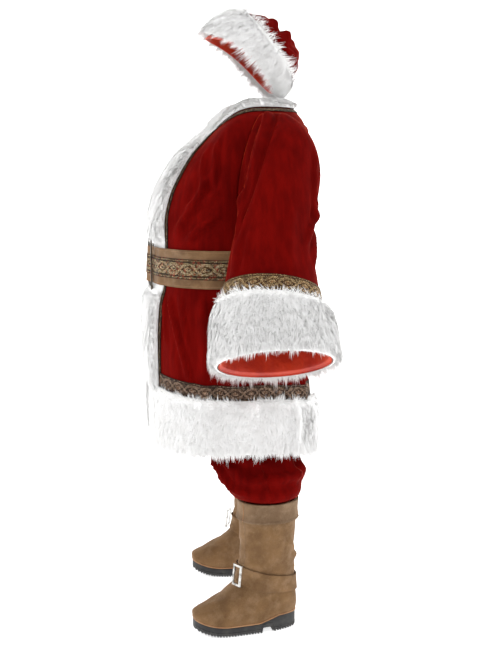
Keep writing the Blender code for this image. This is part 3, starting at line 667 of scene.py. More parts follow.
def weave_effect() -> bpy.types.NodeTree:
    """Crossing threads, from a map in metres."""
    made = Effect("woven_thread", {"Map": None, "Threads": 1800.0}, ("Height",))
    web = made.web
    parts = web.add("SeparateXYZ", {"Vector": made.ins["Map"]}).outputs
    turns = web.times(made.ins["Threads"], FULL_TURN)
    warp = web.math("SINE", web.times(parts[0], turns))
    weft = web.math("SINE", web.times(parts[1], turns))
    made.give("Height", web.times(web.times(warp, weft), 0.5, 0.5))
    return made.tree


def lozenge_effect() -> bpy.types.NodeTree:
    """Figured braid: ogee lines, curls and a drop in each lozenge, fans between them and a ticked border.

    Map runs in metres. Width is the braid's width, Repeat the length of one lozenge and Border the share of
    the half width that the dark border takes. Line is the gold thread and Heart the drops. Painted Glint is a
    painted highlight: the pale threads, shown only in noise patches where they seem to catch the light.
    """
    inputs = {"Map": None, "Width": 0.044, "Repeat": 0.052, "Border": 0.2}
    made = Effect("lozenge_braid", inputs, ("Line", "Pale", "Heart", "Height"))
    web, ins = made.web, made.ins

    def stroke(distance: Any, width: float, full: float = 1.0) -> Socket:
        """A thread where the distance is near zero."""
        return web.ramp(web.math("ABSOLUTE", distance), 0.45 * width, width, full, 0.0)

    def most(*values: Any) -> Socket:
        """The largest of several values."""
        best = values[0]
        for value in values[1:]:
            best = web.math("MAXIMUM", best, value)
        return best

    parts = web.add("SeparateXYZ", {"Vector": ins["Map"]}).outputs
    wobble = web.math("SUBTRACT", web.noise(ins["Map"], 150.0, 1.0), 0.5)
    along = web.times(wobble, 0.07, web.math("DIVIDE", parts[0], ins["Repeat"]))
    across = web.times(web.math("DIVIDE", parts[1], ins["Width"]), 2.0, -1.0)
    away = web.math("ABSOLUTE", across)
    inner = web.math("SUBTRACT", 1.0, ins["Border"])
    held = web.times(wobble, 0.10, web.math("DIVIDE", across, inner))
    wave = web.math("SINE", web.times(along, math.pi))
    swing = web.times(wave, 0.88)
    first = web.math("ABSOLUTE", web.math("SUBTRACT", held, swing))
    second = web.math("ABSOLUTE", web.math("ADD", held, swing))
    nearest = web.math("MINIMUM", first, second)
    ogee = most(stroke(nearest, 0.07), stroke(web.math("SUBTRACT", nearest, 0.19), 0.055, 0.8))
    near = web.times(web.math("FRACT", along), 2.2, -1.1)
    reach = web.math("SQRT", web.times(near, near, web.times(held, held)))
    angle = web.math("ARCTAN2", held, web.math("ABSOLUTE", near))
    curl = web.math("SINE", web.times(reach, 17.0, web.times(angle, 2.0)))
    curl = web.times(stroke(curl, 0.5, 0.9), web.ramp(reach, 0.62, 0.72, 1.0, 0.0))
    lobes = web.math("ABSOLUTE", web.math("COSINE", web.times(angle, 1.5)))
    petal = web.times(lobes, 0.14, 0.2)
    petal = stroke(web.math("SUBTRACT", reach, petal), 0.06)
    heart = web.ramp(reach, 0.08, 0.15, 1.0, 0.0)
    fan_x = web.times(web.math("FRACT", web.math("ADD", along, 0.5)), 2.2, -1.1)
    fan_y = web.math("SUBTRACT", 1.0, web.math("ABSOLUTE", held))
    fan = web.math("SQRT", web.times(fan_x, fan_x, web.times(fan_y, fan_y)))
    fans = web.math("SINE", web.times(fan, 21.0))
    fans = web.times(stroke(fans, 0.55, 0.85), web.ramp(fan, 0.5, 0.6, 1.0, 0.0))
    body = web.ramp(away, web.math("SUBTRACT", inner, 0.03), inner, 1.0, 0.0)
    broken = web.ramp(web.noise(ins["Map"], 700.0, 2.0, 0.7), 0.34, 0.52, 0.25, 1.0)
    figure = web.times(most(ogee, curl, petal, heart, fans), body)
    tick = web.math("SINE", web.times(along, 22 * math.pi, web.times(away, 16.0)))
    rim = stroke(web.math("SUBTRACT", away, web.times(ins["Border"], -0.45, 1.0)), 0.09)
    edge = web.times(web.ramp(tick, -0.1, 0.5), rim)
    line = web.math("MAXIMUM", figure, web.times(edge, 0.9))
    made.give("Line", web.times(line, broken))
    # painted highlight: noise patches where the pale threads light up, standing in for glints off the metal
    glint = web.ramp(web.noise(ins["Map"], 430.0, 2.0, 0.6), 0.5, 0.64)
    made.give("Pale", web.times(web.times(most(ogee, petal, edge), body), glint))
    made.give("Heart", web.times(most(heart, web.times(curl, 0.35)), body))
    threads = web.math("SINE", web.times(web.math("ADD", parts[0], parts[1]), 9000.0))
    made.give("Height", web.times(threads, 0.18, line))
    return made.tree


class Effects:
    """The shader node groups, each built once."""

    def __init__(self) -> None:
        """Builds every group."""
        self.cloud = cloud_effect()
        self.grain = grain_effect()
        self.weave = weave_effect()
        self.lozenge = lozenge_effect()


# ---------------------------------------------------------------- finishes


Colour = tuple[float, float, float]
Inputs = dict[str, Any]


@dataclass(frozen=True)
class Finish:
    """One kind of finish."""

    def material(self, name: str) -> bpy.types.Material:
        """The finish as a material of this name, made once."""
        known = bpy.data.materials.get(name)
        if known:
            return known
        material = bpy.data.materials.new(name)
        material.use_nodes = True
        web = Web(material.node_tree)
        coordinates = web.add("TexCoord").outputs
        shader = material.node_tree.nodes["Principled BSDF"]
        web.feed(shader, self.inputs(web, coordinates["Object"], coordinates["UV"]))
        return material

    def inputs(self, web: Web, place: Socket, uv: Socket) -> Inputs:
        """The shader's inputs.

        Args:
            web: The material's web.
            place: The place on the piece.
            uv: The piece's own map, in metres.

        Returns:
            The inputs by name.
        """
        raise NotImplementedError


@dataclass(frozen=True)
class VelvetFinish(Finish):
    """Deep velvet whose pile lightens in patches and glows at its edges."""

    effects: Effects
    deep: Colour = (0.085, 0.0007, 0.0005)
    bright: Colour = (0.200, 0.0028, 0.0016)
    glow: Colour = (1.0, 0.10, 0.03)

    def inputs(self, web: Web, place: Socket, uv: Socket) -> Inputs:
        """The velvet's inputs."""
        cloud = web.effect(self.effects.cloud, {"Place": place, "Patch Scale": 9.0, "Nap Scale": 900.0})
        streak = web.add("Mapping", {"Vector": place, "Scale": (60.0, 60.0, 9.0)}).outputs["Vector"]
        brushed = web.ramp(web.noise(streak, 1.0, 3.0), 0.35, 0.7)
        share = web.times(cloud["Patch"], 0.3, web.times(brushed, 0.3))
        return {
            "Base Color": web.mix(share, self.deep, self.bright),
            "Roughness": web.ramp(cloud["Nap"], 0.2, 0.8, 0.62, 0.85),
            "Specular IOR Level": 0.02,
            "Sheen Weight": 0.38,
            "Sheen Roughness": 0.25,
            "Sheen Tint": (*self.glow, 1.0),
            "Normal": web.bump(web.times(brushed, 0.4, cloud["Nap"]), 0.0006, 0.5),
        }


@dataclass(frozen=True)
class SatinFinish(Finish):
    """Lining satin with a soft sheen and a fine weave."""

    effects: Effects
    shade: Colour = (0.40, 0.018, 0.006)
    light: Colour = (0.60, 0.045, 0.012)
    glow: Colour = (1.0, 0.45, 0.3)

    def inputs(self, web: Web, place: Socket, uv: Socket) -> Inputs:
        """The satin's inputs."""
        cloud = web.effect(self.effects.cloud, {"Place": place, "Patch Scale": 14.0, "Nap Scale": 60.0})
        weave = web.effect(self.effects.weave, {"Map": uv, "Threads": 900.0})
        soft = web.bump(cloud["Nap"], 0.0035, 0.5)
        return {
            "Base Color": web.mix(cloud["Patch"], self.shade, self.light),
            "Roughness": web.ramp(cloud["Nap"], 0.2, 0.8, 0.34, 0.5),
            "Sheen Weight": 0.3,
            "Sheen Tint": (*self.glow, 1.0),
            "Normal": web.bump(weave["Height"], 0.0002, 0.3, soft),
        }


@dataclass(frozen=True)
class FurFinish(Finish):
    """The hairs of white fur."""

    effects: Effects
    shade: Colour = (0.90, 0.897, 0.888)
    light: Colour = (0.965, 0.965, 0.96)

    def inputs(self, web: Web, place: Socket, uv: Socket) -> Inputs:
        """The hairs' inputs."""
        cloud = web.effect(self.effects.cloud, {"Place": place, "Patch Scale": 55.0, "Nap Scale": 500.0})
        return {
            "Base Color": web.mix(cloud["Patch"], self.shade, self.light),
            "Roughness": web.ramp(cloud["Nap"], 0.2, 0.8, 0.7, 0.95),
            "Specular IOR Level": 0.05,
        }


@dataclass(frozen=True)
class FurShellFinish(FurFinish):
    """The tufted shell under the hairs."""

    def inputs(self, web: Web, place: Socket, uv: Socket) -> Inputs:
        """The shell's inputs."""
        cloud = web.effect(self.effects.cloud, {"Place": place, "Patch Scale": 70.0, "Nap Scale": 260.0})
        return {
            "Base Color": web.mix(cloud["Patch"], self.shade, self.light),
            "Roughness": 0.95,
            "Normal": web.bump(web.math("ADD", cloud["Patch"], cloud["Nap"]), 0.004, 0.6),
        }


@dataclass(frozen=True)
class BrocadeFinish(Finish):
    """Woven metallic braid: lozenges, scrolls, a beaded border, and painted sparkle and glints on its threads.
    """

    effects: Effects
    width: float
    repeat: float
    ground: Colour
    thread: Colour
    # the pale thread colour, which shows only in the painted glints and the painted sparkle
    pale: Colour
    accent: Colour = (0.34, 0.12, 0.05)
    border: float = 0.26
    glint: float = 0.0
    ember: Colour = (0.33, 0.02, 0.012)
    shadow: Colour = (0.01, 0.008, 0.006)

    def inputs(self, web: Web, place: Socket, uv: Socket) -> Inputs:
        """The braid's inputs."""
        sockets = {"Map": uv, "Width": self.width, "Repeat": self.repeat, "Border": self.border}
        figure = web.effect(self.effects.lozenge, sockets)
        cloud = web.effect(self.effects.cloud, {"Place": place, "Patch Scale": 60.0, "Nap Scale": 700.0})
        spots = web.ramp(self.cells(web, uv, 190.0)[0], 0.72, 0.8)
        ground = web.mix(web.times(spots, self.glint), self.ground, self.ember)
        ground = web.mix(web.times(cloud["Nap"], 0.5), ground, self.shadow)
        gold = web.mix(web.times(cloud["Patch"], 0.4), self.thread, self.ground)
        colour = web.mix(figure["Line"], ground, gold)
        colour = web.mix(web.times(figure["Heart"], 0.75), colour, self.accent)
        # painted sparkle: random cells darken the pattern to the ground colour as painted shade
        chance = self.cells(web, uv, 620.0)
        unshaded_cells = web.ramp(chance[0], 0.38, 0.42)
        colour = web.mix(web.times(unshaded_cells, -0.72, 0.72), colour, self.ground)
        # painted highlight: random cells on the threads light up in the pale colour
        lit = web.times(web.ramp(chance[1], 0.70, 0.74), web.ramp(figure["Line"], 0.2, 0.6, 0.04, 1.0))
        return {
            "Base Color": web.mix(web.math("MAXIMUM", lit, figure["Pale"]), colour, self.pale),
            "Metallic": web.ramp(figure["Line"], 0.0, 1.0, 0.0, 0.3),
            "Roughness": web.ramp(cloud["Nap"], 0.2, 0.8, 0.45, 0.7),
            "Specular IOR Level": 0.15,
            "Normal": web.bump(figure["Height"], 0.0011, 0.9),
        }

    @staticmethod
    def cells(web: Web, uv: Socket, scale: float) -> Any:
        """Chances that stay the same over each small cell of the map."""
        cells = web.add("TexVoronoi", {"Vector": uv, "Scale": scale})
        return web.add("SeparateColor", {"Color": cells.outputs["Color"]}).outputs


@dataclass(frozen=True)
class LeatherFinish(Finish):
    """Leather or suede in two browns, with grain, nap and wear."""

    effects: Effects
    dark: Colour
    light: Colour
    worn: Colour
    grain_scale: float = 420.0
    wear: float = 0.35
    roughness: tuple[float, float] = (0.45, 0.65)
    nap: float = 0.0
    relief: float = 0.0005
    glow: Colour = (0.9, 0.7, 0.5)

    def inputs(self, web: Web, place: Socket, uv: Socket) -> Inputs:
        """The leather's inputs."""
        cloud = web.effect(self.effects.cloud, {"Place": place, "Patch Scale": 16.0, "Nap Scale": 700.0})
        sockets = {"Place": place, "Scale": self.grain_scale, "Wear Scale": 26.0}
        grain = web.effect(self.effects.grain, sockets)
        colour = web.mix(cloud["Patch"], self.dark, self.light)
        colour = web.mix(web.times(grain["Wear"], self.wear), colour, self.worn)
        speck = web.ramp(cloud["Nap"], 0.3, 0.75, 0.72, 1.12)
        grey = web.add("CombineColor", {0: speck, 1: speck, 2: speck}).outputs[0]
        return {
            "Base Color": web.mix(1.0, colour, grey, "MULTIPLY"),
            "Roughness": web.ramp(grain["Wear"], 0.0, 1.0, self.roughness[1], self.roughness[0]),
            "Sheen Weight": self.nap,
            "Sheen Tint": (*self.glow, 1.0),
            "Specular IOR Level": 0.35,
            "Normal": web.bump(web.times(cloud["Nap"], 0.6, grain["Height"]), self.relief, 0.7),
        }


@dataclass(frozen=True)
class HardFinish(Finish):
    """Metal or rubber in two tones, grained and worn in patches."""

    effects: Effects
    fresh: Colour
    worn: Colour
    roughness: tuple[float, float]
    metallic: float = 1.0
    scale: float = 300.0
    wear_scale: float = 70.0
    relief: tuple[float, float] = (0.0003, 0.35)

    def inputs(self, web: Web, place: Socket, uv: Socket) -> Inputs:
        """The metal's or the rubber's inputs."""
        sockets = {"Place": place, "Scale": self.scale, "Wear Scale": self.wear_scale}
        grain = web.effect(self.effects.grain, sockets)
        return {
            "Base Color": web.mix(grain["Wear"], self.fresh, self.worn),
            "Metallic": self.metallic,
            "Roughness": web.ramp(grain["Wear"], 0.0, 1.0, *self.roughness),
            "Normal": web.bump(grain["Height"], *self.relief),
        }


@dataclass(frozen=True)
class LitFinish(Finish):
    """Faintly uneven white that is lit from within."""

    glow: float
    shade: Colour = (0.86, 0.86, 0.86)
    light: Colour = (0.9, 0.9, 0.9)

    def inputs(self, web: Web, place: Socket, uv: Socket) -> Inputs:
        """The white's inputs."""
        return {
            "Base Color": web.mix(web.noise(place, 6.0, 2.0), self.shade, self.light),
            "Roughness": 0.9,
            "Emission Color": (1.0, 1.0, 1.0, 1.0),
            "Emission Strength": self.glow,
        }


@dataclass(frozen=True)
class Finishes:
    """Every finish of the suit."""

    velvet: VelvetFinish
    satin: SatinFinish
    fur: FurFinish
    braid: BrocadeFinish
    dark_braid: BrocadeFinish
    edge_braid: BrocadeFinish
    belt_braid: BrocadeFinish
    belt_leather: LeatherFinish
    suede: LeatherFinish
    grey_suede: LeatherFinish
    welt: LeatherFinish
    bronze: HardFinish
    silver: HardFinish
    rubber: HardFinish


def make_finishes() -> Finishes:
    """Builds the effects and the finishes that use them."""
    effects = Effects()
    umber, gold = (0.008, 0.004, 0.003), (0.56, 0.30, 0.10)
    worn_suede = (900.0, 0.45, (0.75, 0.95), 0.2, 0.0007)
    tan = ((0.150, 0.078, 0.031), (0.225, 0.122, 0.050), (0.33, 0.195, 0.095))
    grey = ((0.165, 0.098, 0.052), (0.245, 0.152, 0.083), (0.36, 0.24, 0.14))
    black, dust = (0.018, 0.018, 0.019), (0.065, 0.062, 0.058)
    return Finishes(
        velvet=VelvetFinish(effects),
        satin=SatinFinish(effects),
        fur=FurFinish(effects),
        braid=BrocadeFinish(effects, 0.044, 0.050, (0.035, 0.014, 0.006), gold, (1.0, 0.72, 0.36)),
        dark_braid=BrocadeFinish(effects, 0.044, 0.046, umber, (0.34, 0.19, 0.11), (0.80, 0.54, 0.38)),
        edge_braid=BrocadeFinish(effects, 0.0235, 0.026, umber, (0.24, 0.13, 0.06), (0.7, 0.48, 0.30)),
        belt_braid=BrocadeFinish(
            effects,
            width=0.056,
            repeat=0.052,
            ground=(0.022, 0.010, 0.004),
            thread=(0.52, 0.31, 0.11),
            pale=(1.0, 0.82, 0.48),
            accent=(0.30, 0.03, 0.015),
            border=0.36,
            glint=0.9,
        ),
        belt_leather=LeatherFinish(effects, (0.12, 0.058, 0.020), (0.21, 0.110, 0.042), (0.34, 0.195, 0.09)),
        suede=LeatherFinish(effects, *tan, *worn_suede),
        grey_suede=LeatherFinish(effects, *grey, 900.0, 0.4, *worn_suede[2:]),
        welt=LeatherFinish(effects, (0.36, 0.17, 0.075), (0.50, 0.26, 0.12), (0.55, 0.32, 0.17), 700.0, 0.3),
        bronze=HardFinish(effects, (0.085, 0.060, 0.040), (0.022, 0.017, 0.013), (0.28, 0.5)),
        silver=HardFinish(effects, (0.55, 0.54, 0.51), (0.20, 0.19, 0.18), (0.22, 0.4)),
        rubber=HardFinish(effects, black, dust, (0.55, 0.85), 0.0, 500.0, 30.0, (0.0004, 0.4)),
    )


# ---------------------------------------------------------------- jacket


HEM, HEM_FUR_TOP, HEM_BRAID_TOP = 0.600, 0.752, 0.796
SQUASH_BOTTOM, SQUASH_TOP = 1.040, 1.200
ARMHOLE_BOTTOM, ARMHOLE_TOP = 1.250, 1.548
COLLAR_BRAID_EDGE, COLLAR_EDGE, NECKLINE = 1.556, 1.566, 1.586
BAND_WIDTH, BRAID_EDGE, FUR_LAP = 0.100, 0.1245, 0.012


@dataclass(frozen=True)
class JacketShape:
    """The jacket's smooth surface, by turn and height.

    The columns of rows are the height at the side, in front and behind, and the half width, front, back
    and middle.
    """

    rows: SizeTable = SizeTable((
        (0.600, 0.597, 0.553, 0.272, -0.262, 0.204, -0.030),
        (0.752, 0.770, 0.712, 0.266, -0.266, 0.194, -0.030),
        (0.900, 0.915, 0.885, 0.255, -0.268, 0.182, -0.028),
        (1.000, 1.008, 0.992, 0.247, -0.264, 0.170, -0.025),
        (1.065, 1.066, 1.064, 0.241, -0.252, 0.154, -0.022),
        (1.175, 1.176, 1.172, 0.238, -0.247, 0.152, -0.018),
        (1.250, 1.248, 1.250, 0.240, -0.246, 0.164, -0.010),
        (1.335, 1.312, 1.332, 0.240, -0.232, 0.180, 0.000),
        (1.415, 1.372, 1.412, 0.238, -0.203, 0.194, 0.012),
        (1.485, 1.425, 1.482, 0.232, -0.168, 0.192, 0.022),
        (1.532, 1.458, 1.530, 0.217, -0.136, 0.177, 0.028),
        (1.556, 1.480, 1.557, 0.190, -0.112, 0.158, 0.031),
        (1.566, 1.490, 1.568, 0.168, -0.097, 0.147, 0.032),
        (1.577, 1.503, 1.579, 0.133, -0.073, 0.130, 0.032),
        (1.586, 1.512, 1.588, 0.101, -0.054, 0.112, 0.032),
    ))
    squareness: float = 0.77
    armhole_front: float = math.radians(8)
    armhole_back: float = math.radians(31)

    def place(self, across: Array, along: Array) -> Array:
        """Points of the inner surface."""
        _, front_height, back_height, half_width, front, back, middle = self.rows.at(along)
        flat = oval(half_width, front, back, middle, across, self.squareness)
        depth = np.sin(across)
        lift = np.where(depth > 0, back_height, front_height)
        height = along + (lift - along) * depth**2 - SHOULDER_HEIGHT
        return np.concatenate([flat, height[..., None]], -1)

    def front_turn(self, x: Array, along: Array) -> Array:
        """The turn at which the left front is this far from its centre."""
        half_width = self.rows.at(np.minimum(along, COLLAR_EDGE))[3]
        return -np.arccos(np.clip(x / half_width, 0, 1) ** (1 / self.squareness))

    def armhole_share(self, along: Array) -> Array:
        """How far open the armhole is at each height, from 0 to 1."""
        middle, half = (ARMHOLE_TOP + ARMHOLE_BOTTOM) / 2, (ARMHOLE_TOP - ARMHOLE_BOTTOM) / 2
        return np.sqrt(np.clip(1 - ((along - middle) / half) ** 2, 0, 1))


def jacket_press(across: Array, along: Array) -> Array:
    """Folds lie flat under the belt, under the front bands and at the neck's edge."""
    belt = eased(np.abs(along - (SQUASH_BOTTOM + SQUASH_TOP) / 2) / 0.045 - 1.25)
    from_front = np.abs((across + 1.5 * math.pi) % FULL_TURN - math.pi)
    return belt * eased((NECKLINE - along) / 0.04) * eased((from_front - 0.30) / 0.16)


JACKET_FOLDS = folds(
    (-1.02, 1.035, -0.62, 0.800, 0.0085, 0.0075, 0.006),
    (-1.12, 1.030, -1.02, 0.890, 0.0070, 0.0050, -0.004),
    (-0.80, 1.040, -0.66, 0.900, 0.0080, 0.0045, 0.004),
    (-0.45, 1.035, -0.40, 0.690, 0.0160, 0.0080, 0.008),
    (-0.05, 1.035, 0.02, 0.660, 0.0200, 0.0085, -0.006),
    (0.45, 1.030, 0.50, 0.640, 0.0170, 0.0080, 0.008),
    (0.95, 1.035, 0.88, 0.650, 0.0210, 0.0090, -0.008),
    (1.35, 1.030, 1.42, 0.640, 0.0180, 0.0080, 0.006),
    (1.85, 1.035, 1.78, 0.650, 0.0220, 0.0085, 0.006),
    (2.30, 1.030, 2.38, 0.640, 0.0180, 0.0080, -0.008),
    (2.75, 1.035, 2.70, 0.660, 0.0190, 0.0085, 0.006),
    (3.22, 1.030, 3.14, 0.660, 0.0180, 0.0080, 0.006),
    (3.62, 1.035, 3.72, 0.680, 0.0150, 0.0075, -0.006),
    (4.02, 1.035, 3.86, 0.800, 0.0085, 0.0070, -0.006),
    (4.22, 1.030, 4.16, 0.880, 0.0070, 0.0050, 0.004),
    (-0.52, 1.400, -0.95, 1.215, 0.0130, 0.0065, 0.012),
    (-0.34, 1.340, -0.80, 1.300, 0.0100, 0.0050, 0.006),
    (-0.30, 1.270, -0.74, 1.195, 0.0100, 0.0065, -0.006),
    (-0.62, 1.490, -0.42, 1.350, 0.0085, 0.0060, 0.005),
    (-0.80, 1.475, -0.55, 1.345, 0.0080, 0.0050, -0.003),
    (3.66, 1.400, 4.08, 1.220, 0.0130, 0.0060, -0.012),
    (3.46, 1.330, 3.92, 1.290, 0.0100, 0.0050, -0.006),
    (3.46, 1.262, 3.90, 1.200, 0.0110, 0.0060, 0.006),
    (3.74, 1.480, 3.58, 1.350, 0.0085, 0.0055, -0.004),
    (0.62, 1.430, 0.95, 1.230, 0.0150, 0.0070, 0.010),
    (0.58, 1.330, 1.05, 1.205, 0.0110, 0.0055, -0.006),
    (2.52, 1.430, 2.18, 1.230, 0.0150, 0.0065, -0.010),
    (2.56, 1.340, 2.05, 1.210, 0.0110, 0.0055, 0.006),
    (1.30, 1.250, 1.36, 1.195, 0.0110, 0.0055, 0.0),
    (1.84, 1.260, 1.78, 1.195, 0.0120, 0.0055, 0.0),
    (1.10, 1.510, 1.95, 1.500, 0.0140, 0.0040, 0.012),
)


@dataclass
class Jacket:
    """Two fronts and a back, with their braids and fur."""

    finishes: Finishes
    shape: JacketShape = field(default_factory=JacketShape)
    rows: int = 118
    fur_depth: float = 0.030
    collar_depth: float = 0.018

    def __post_init__(self) -> None:
        """Makes the folded surface."""
        self.cloth = Cloth(self.shape.place, 0.235, JACKET_FOLDS, slack=0.0011, pressed=jacket_press)

    def heights(self) -> Array:
        """The panels' rows, closer together round the armholes' ends."""
        below = np.linspace(HEM, ARMHOLE_BOTTOM, int(self.rows * 0.62), endpoint=False)
        middle, half = (ARMHOLE_TOP + ARMHOLE_BOTTOM) / 2, (ARMHOLE_TOP - ARMHOLE_BOTTOM) / 2
        arm = middle - half * np.cos(np.linspace(0, math.pi, int(self.rows * 0.3)))
        above = np.linspace(ARMHOLE_TOP, NECKLINE, 9)[1:]
        return np.concatenate([below, arm, above])

    def front_grid(self) -> tuple[Array, Array]:
        """Turns and heights of the left front's points."""
        along = self.heights()[:, None]
        band = self.shape.front_turn(np.linspace(SEAM, BRAID_EDGE, 17)[None, :], along)
        end = -self.shape.armhole_front * self.shape.armhole_share(along)
        side = band[:, -1:] + (end - band[:, -1:]) * np.linspace(0, 1, 37)[None, 1:]
        across = np.concatenate([band, side], 1)
        return across, np.broadcast_to(along, across.shape)

    def back_grid(self) -> tuple[Array, Array]:
        """Turns and heights of the back's points."""
        along = self.heights()[:, None]
        start = self.shape.armhole_back * self.shape.armhole_share(along)
        across = start + (math.pi - 2 * start) * np.linspace(0, 1, 85)[None, :]
        return across, np.broadcast_to(along, across.shape)

    def panel(self, name: str, grid: tuple[Array, Array], side: Side) -> None:
        """One velvet panel.

        Args:
            name: Its node's name.
            grid: The turns and heights of its points.
            side: The side it is worn on.
        """
        made, smooth = Grid(self.cloth.points(*grid)), Grid(self.cloth.place(*grid))
        if side is Side.RIGHT:
            made, smooth = Grid(self.cloth.points(math.pi - grid[0], grid[1]), flip=True), smooth.mirrored()
        velvet = self.finishes.velvet.material(name + "_velvet")
        Sewn(CLOTH, velvet, "velvet", "hung", ["collar_fur", "belt_strap"]).make(name, made, smooth)

    def strip(self, name: str, region: Region, counts: tuple[int, int], finish: BrocadeFinish) -> None:
        """One flat braid round the panels.

        Args:
            name: Its node's name.
            region: Where shares across and along lie on the jacket.
            counts: How many columns and rows it has.
            finish: Its finish.
        """
        across, along = region(*np.meshgrid(*(np.linspace(0, 1, count) for count in counts)))
        made = Grid(self.cloth.points(across, along, CLOTH + LAYER))
        woven, held = finish.material(name + "_braid"), ["jacket_front_left", "jacket_back"]
        smooth = Grid(self.cloth.place(across, along))
        Sewn(BRAID, woven, "brocade", "stretched", held).make(name, made, smooth)

    def round_body(self, start_x: float, low: float, high: float) -> Region:
        """A region round the back that starts and ends this far from the front's centre."""

        def region(s: Array, t: Array) -> tuple[Array, Array]:
            along = low + (high - low) * t
            start = self.shape.front_turn(np.full_like(along, start_x), along)
            return start + (math.pi - 2 * start) * s, along

        return region

    def front_region(self, near: float, far: float, low: float, high: float) -> Region:
        """A region of the left front between two distances from its centre."""

        def region(s: Array, t: Array) -> tuple[Array, Array]:
            along = low + (high - low) * t
            return self.shape.front_turn(near + (far - near) * s, along), along

        return region

    def under_belt(self, across: Array, along: Array) -> Array:
        """The front fur's height where the belt squashes it."""
        return 0.24 + 0.76 * eased(np.abs(along - (SQUASH_BOTTOM + SQUASH_TOP) / 2) / 0.03 - 2.1)

    def build(self) -> None:
        """Makes every piece of the jacket."""
        grid = self.front_grid()
        self.panel("jacket_front_left", grid, Side.LEFT)
        self.panel("jacket_front_right", grid, Side.RIGHT)
        self.panel("jacket_back", self.back_grid(), Side.LEFT)
        self.build_braids()
        self.build_furs()

    def build_braids(self) -> None:
        """Braids beside the front bands, above the hem's fur and under the collar's."""
        hem = self.round_body(BAND_WIDTH, HEM_FUR_TOP + SEAM, HEM_BRAID_TOP - LAYER)
        self.strip("hem_braid", hem, (300, 9), self.finishes.dark_braid)
        neck = self.round_body(BAND_WIDTH, COLLAR_BRAID_EDGE, COLLAR_EDGE - 2 * LAYER)
        self.strip("neck_braid", neck, (150, 4), self.finishes.edge_braid)
        for side in Side:
            name = "front_braid_" + side.word
            high = COLLAR_BRAID_EDGE - LAYER
            region = self.front_region(BAND_WIDTH + LAYER, BRAID_EDGE, HEM_BRAID_TOP, high)
            s, t = np.meshgrid(np.linspace(0, 1, 5), np.linspace(0, 1, 120))
            across, along = region(s, t)
            if side is Side.RIGHT:
                across = math.pi - across
            made = self.cloth.points(across, along, CLOTH + LAYER)
            uv = metre_map(made)[..., ::-1]
            grid = Grid(made, flip=side is Side.RIGHT, uv=uv)
            woven = self.finishes.edge_braid.material(name + "_braid")
            sewn = Sewn(BRAID, woven, "brocade", "stretched", ["jacket_front_" + side.word])
            sewn.make(name, grid, Grid(self.cloth.place(across, along)))

    def build_furs(self) -> None:
        """Fur down both front edges and round the hem and neckline."""
        seat = CLOTH + LAYER
        for side in Side:
            name = "front_fur_" + side.word
            low, high = HEM_FUR_TOP - 0.012, COLLAR_EDGE - 2 * LAYER
            region = self.front_region(SEAM, BAND_WIDTH + FUR_LAP, low, high)
            hair = Hair(self.fur_depth, 18000, seed=11 + side.value)
            pelt = Pelt(name, self.cloth, region, hair, (13, 96), seat, side=side, fullness=self.under_belt)
            pelt.build(self.finishes.fur, ["jacket_front_" + side.word])
        panels = ["jacket_front_left", "jacket_front_right", "jacket_back"]
        hair = Hair(self.fur_depth, 40000, seed=21)
        region = self.round_body(SEAM, HEM - 0.002, HEM_FUR_TOP - SEAM)
        Pelt("hem_fur", self.cloth, region, hair, (200, 22), seat).build(self.finishes.fur, panels)
        hair = Hair(self.collar_depth, 10000, seed=31, tuft=0.008, loft=0.62)
        region = self.round_body(SEAM, COLLAR_EDGE, NECKLINE)
        Pelt("collar_fur", self.cloth, region, hair, (120, 12), seat + LAYER).build(self.finishes.fur, panels)


# ---------------------------------------------------------------- sleeves


SLEEVE_FOLDS = folds(
    (-0.55, -0.045, -1.75, 0.120, 0.0120, -0.0105, 0.012),
    (-0.20, -0.040, -1.45, 0.190, 0.0110, 0.0080, 0.010),
    (0.05, -0.030, -1.20, 0.240, 0.0105, -0.0070, 0.012),
    (-1.35, 0.100, -1.15, 0.330, 0.0100, 0.0075, -0.006),
    (-0.95, 0.170, -1.00, 0.335, 0.0080, 0.0045, 0.005),
    (-0.70, 0.235, -0.82, 0.340, 0.0060, 0.0045, 0.0),
    (0.95, 0.060, 1.35, 0.200, 0.0110, 0.0060, 0.008),
    (1.45, 0.130, 0.80, 0.260, 0.0100, 0.0060, -0.008),
    (1.75, 0.190, 1.05, 0.310, 0.0110, 0.0065, 0.006),
    (0.35, 0.200, 0.30, 0.340, 0.0160, 0.0040, 0.004),
    (2.50, -0.020, 2.30, 0.160, 0.0120, 0.0060, 0.006),
    (3.10, 0.000, 2.75, 0.200, 0.0120, 0.0060, -0.006),
    (-2.60, -0.010, -2.30, 0.180, 0.0120, 0.0065, 0.006),
    (-2.95, 0.090, -2.50, 0.280, 0.0100, 0.0055, 0.004),
    (2.60, 0.200, 2.90, 0.330, 0.0110, 0.0055, 0.0),
)


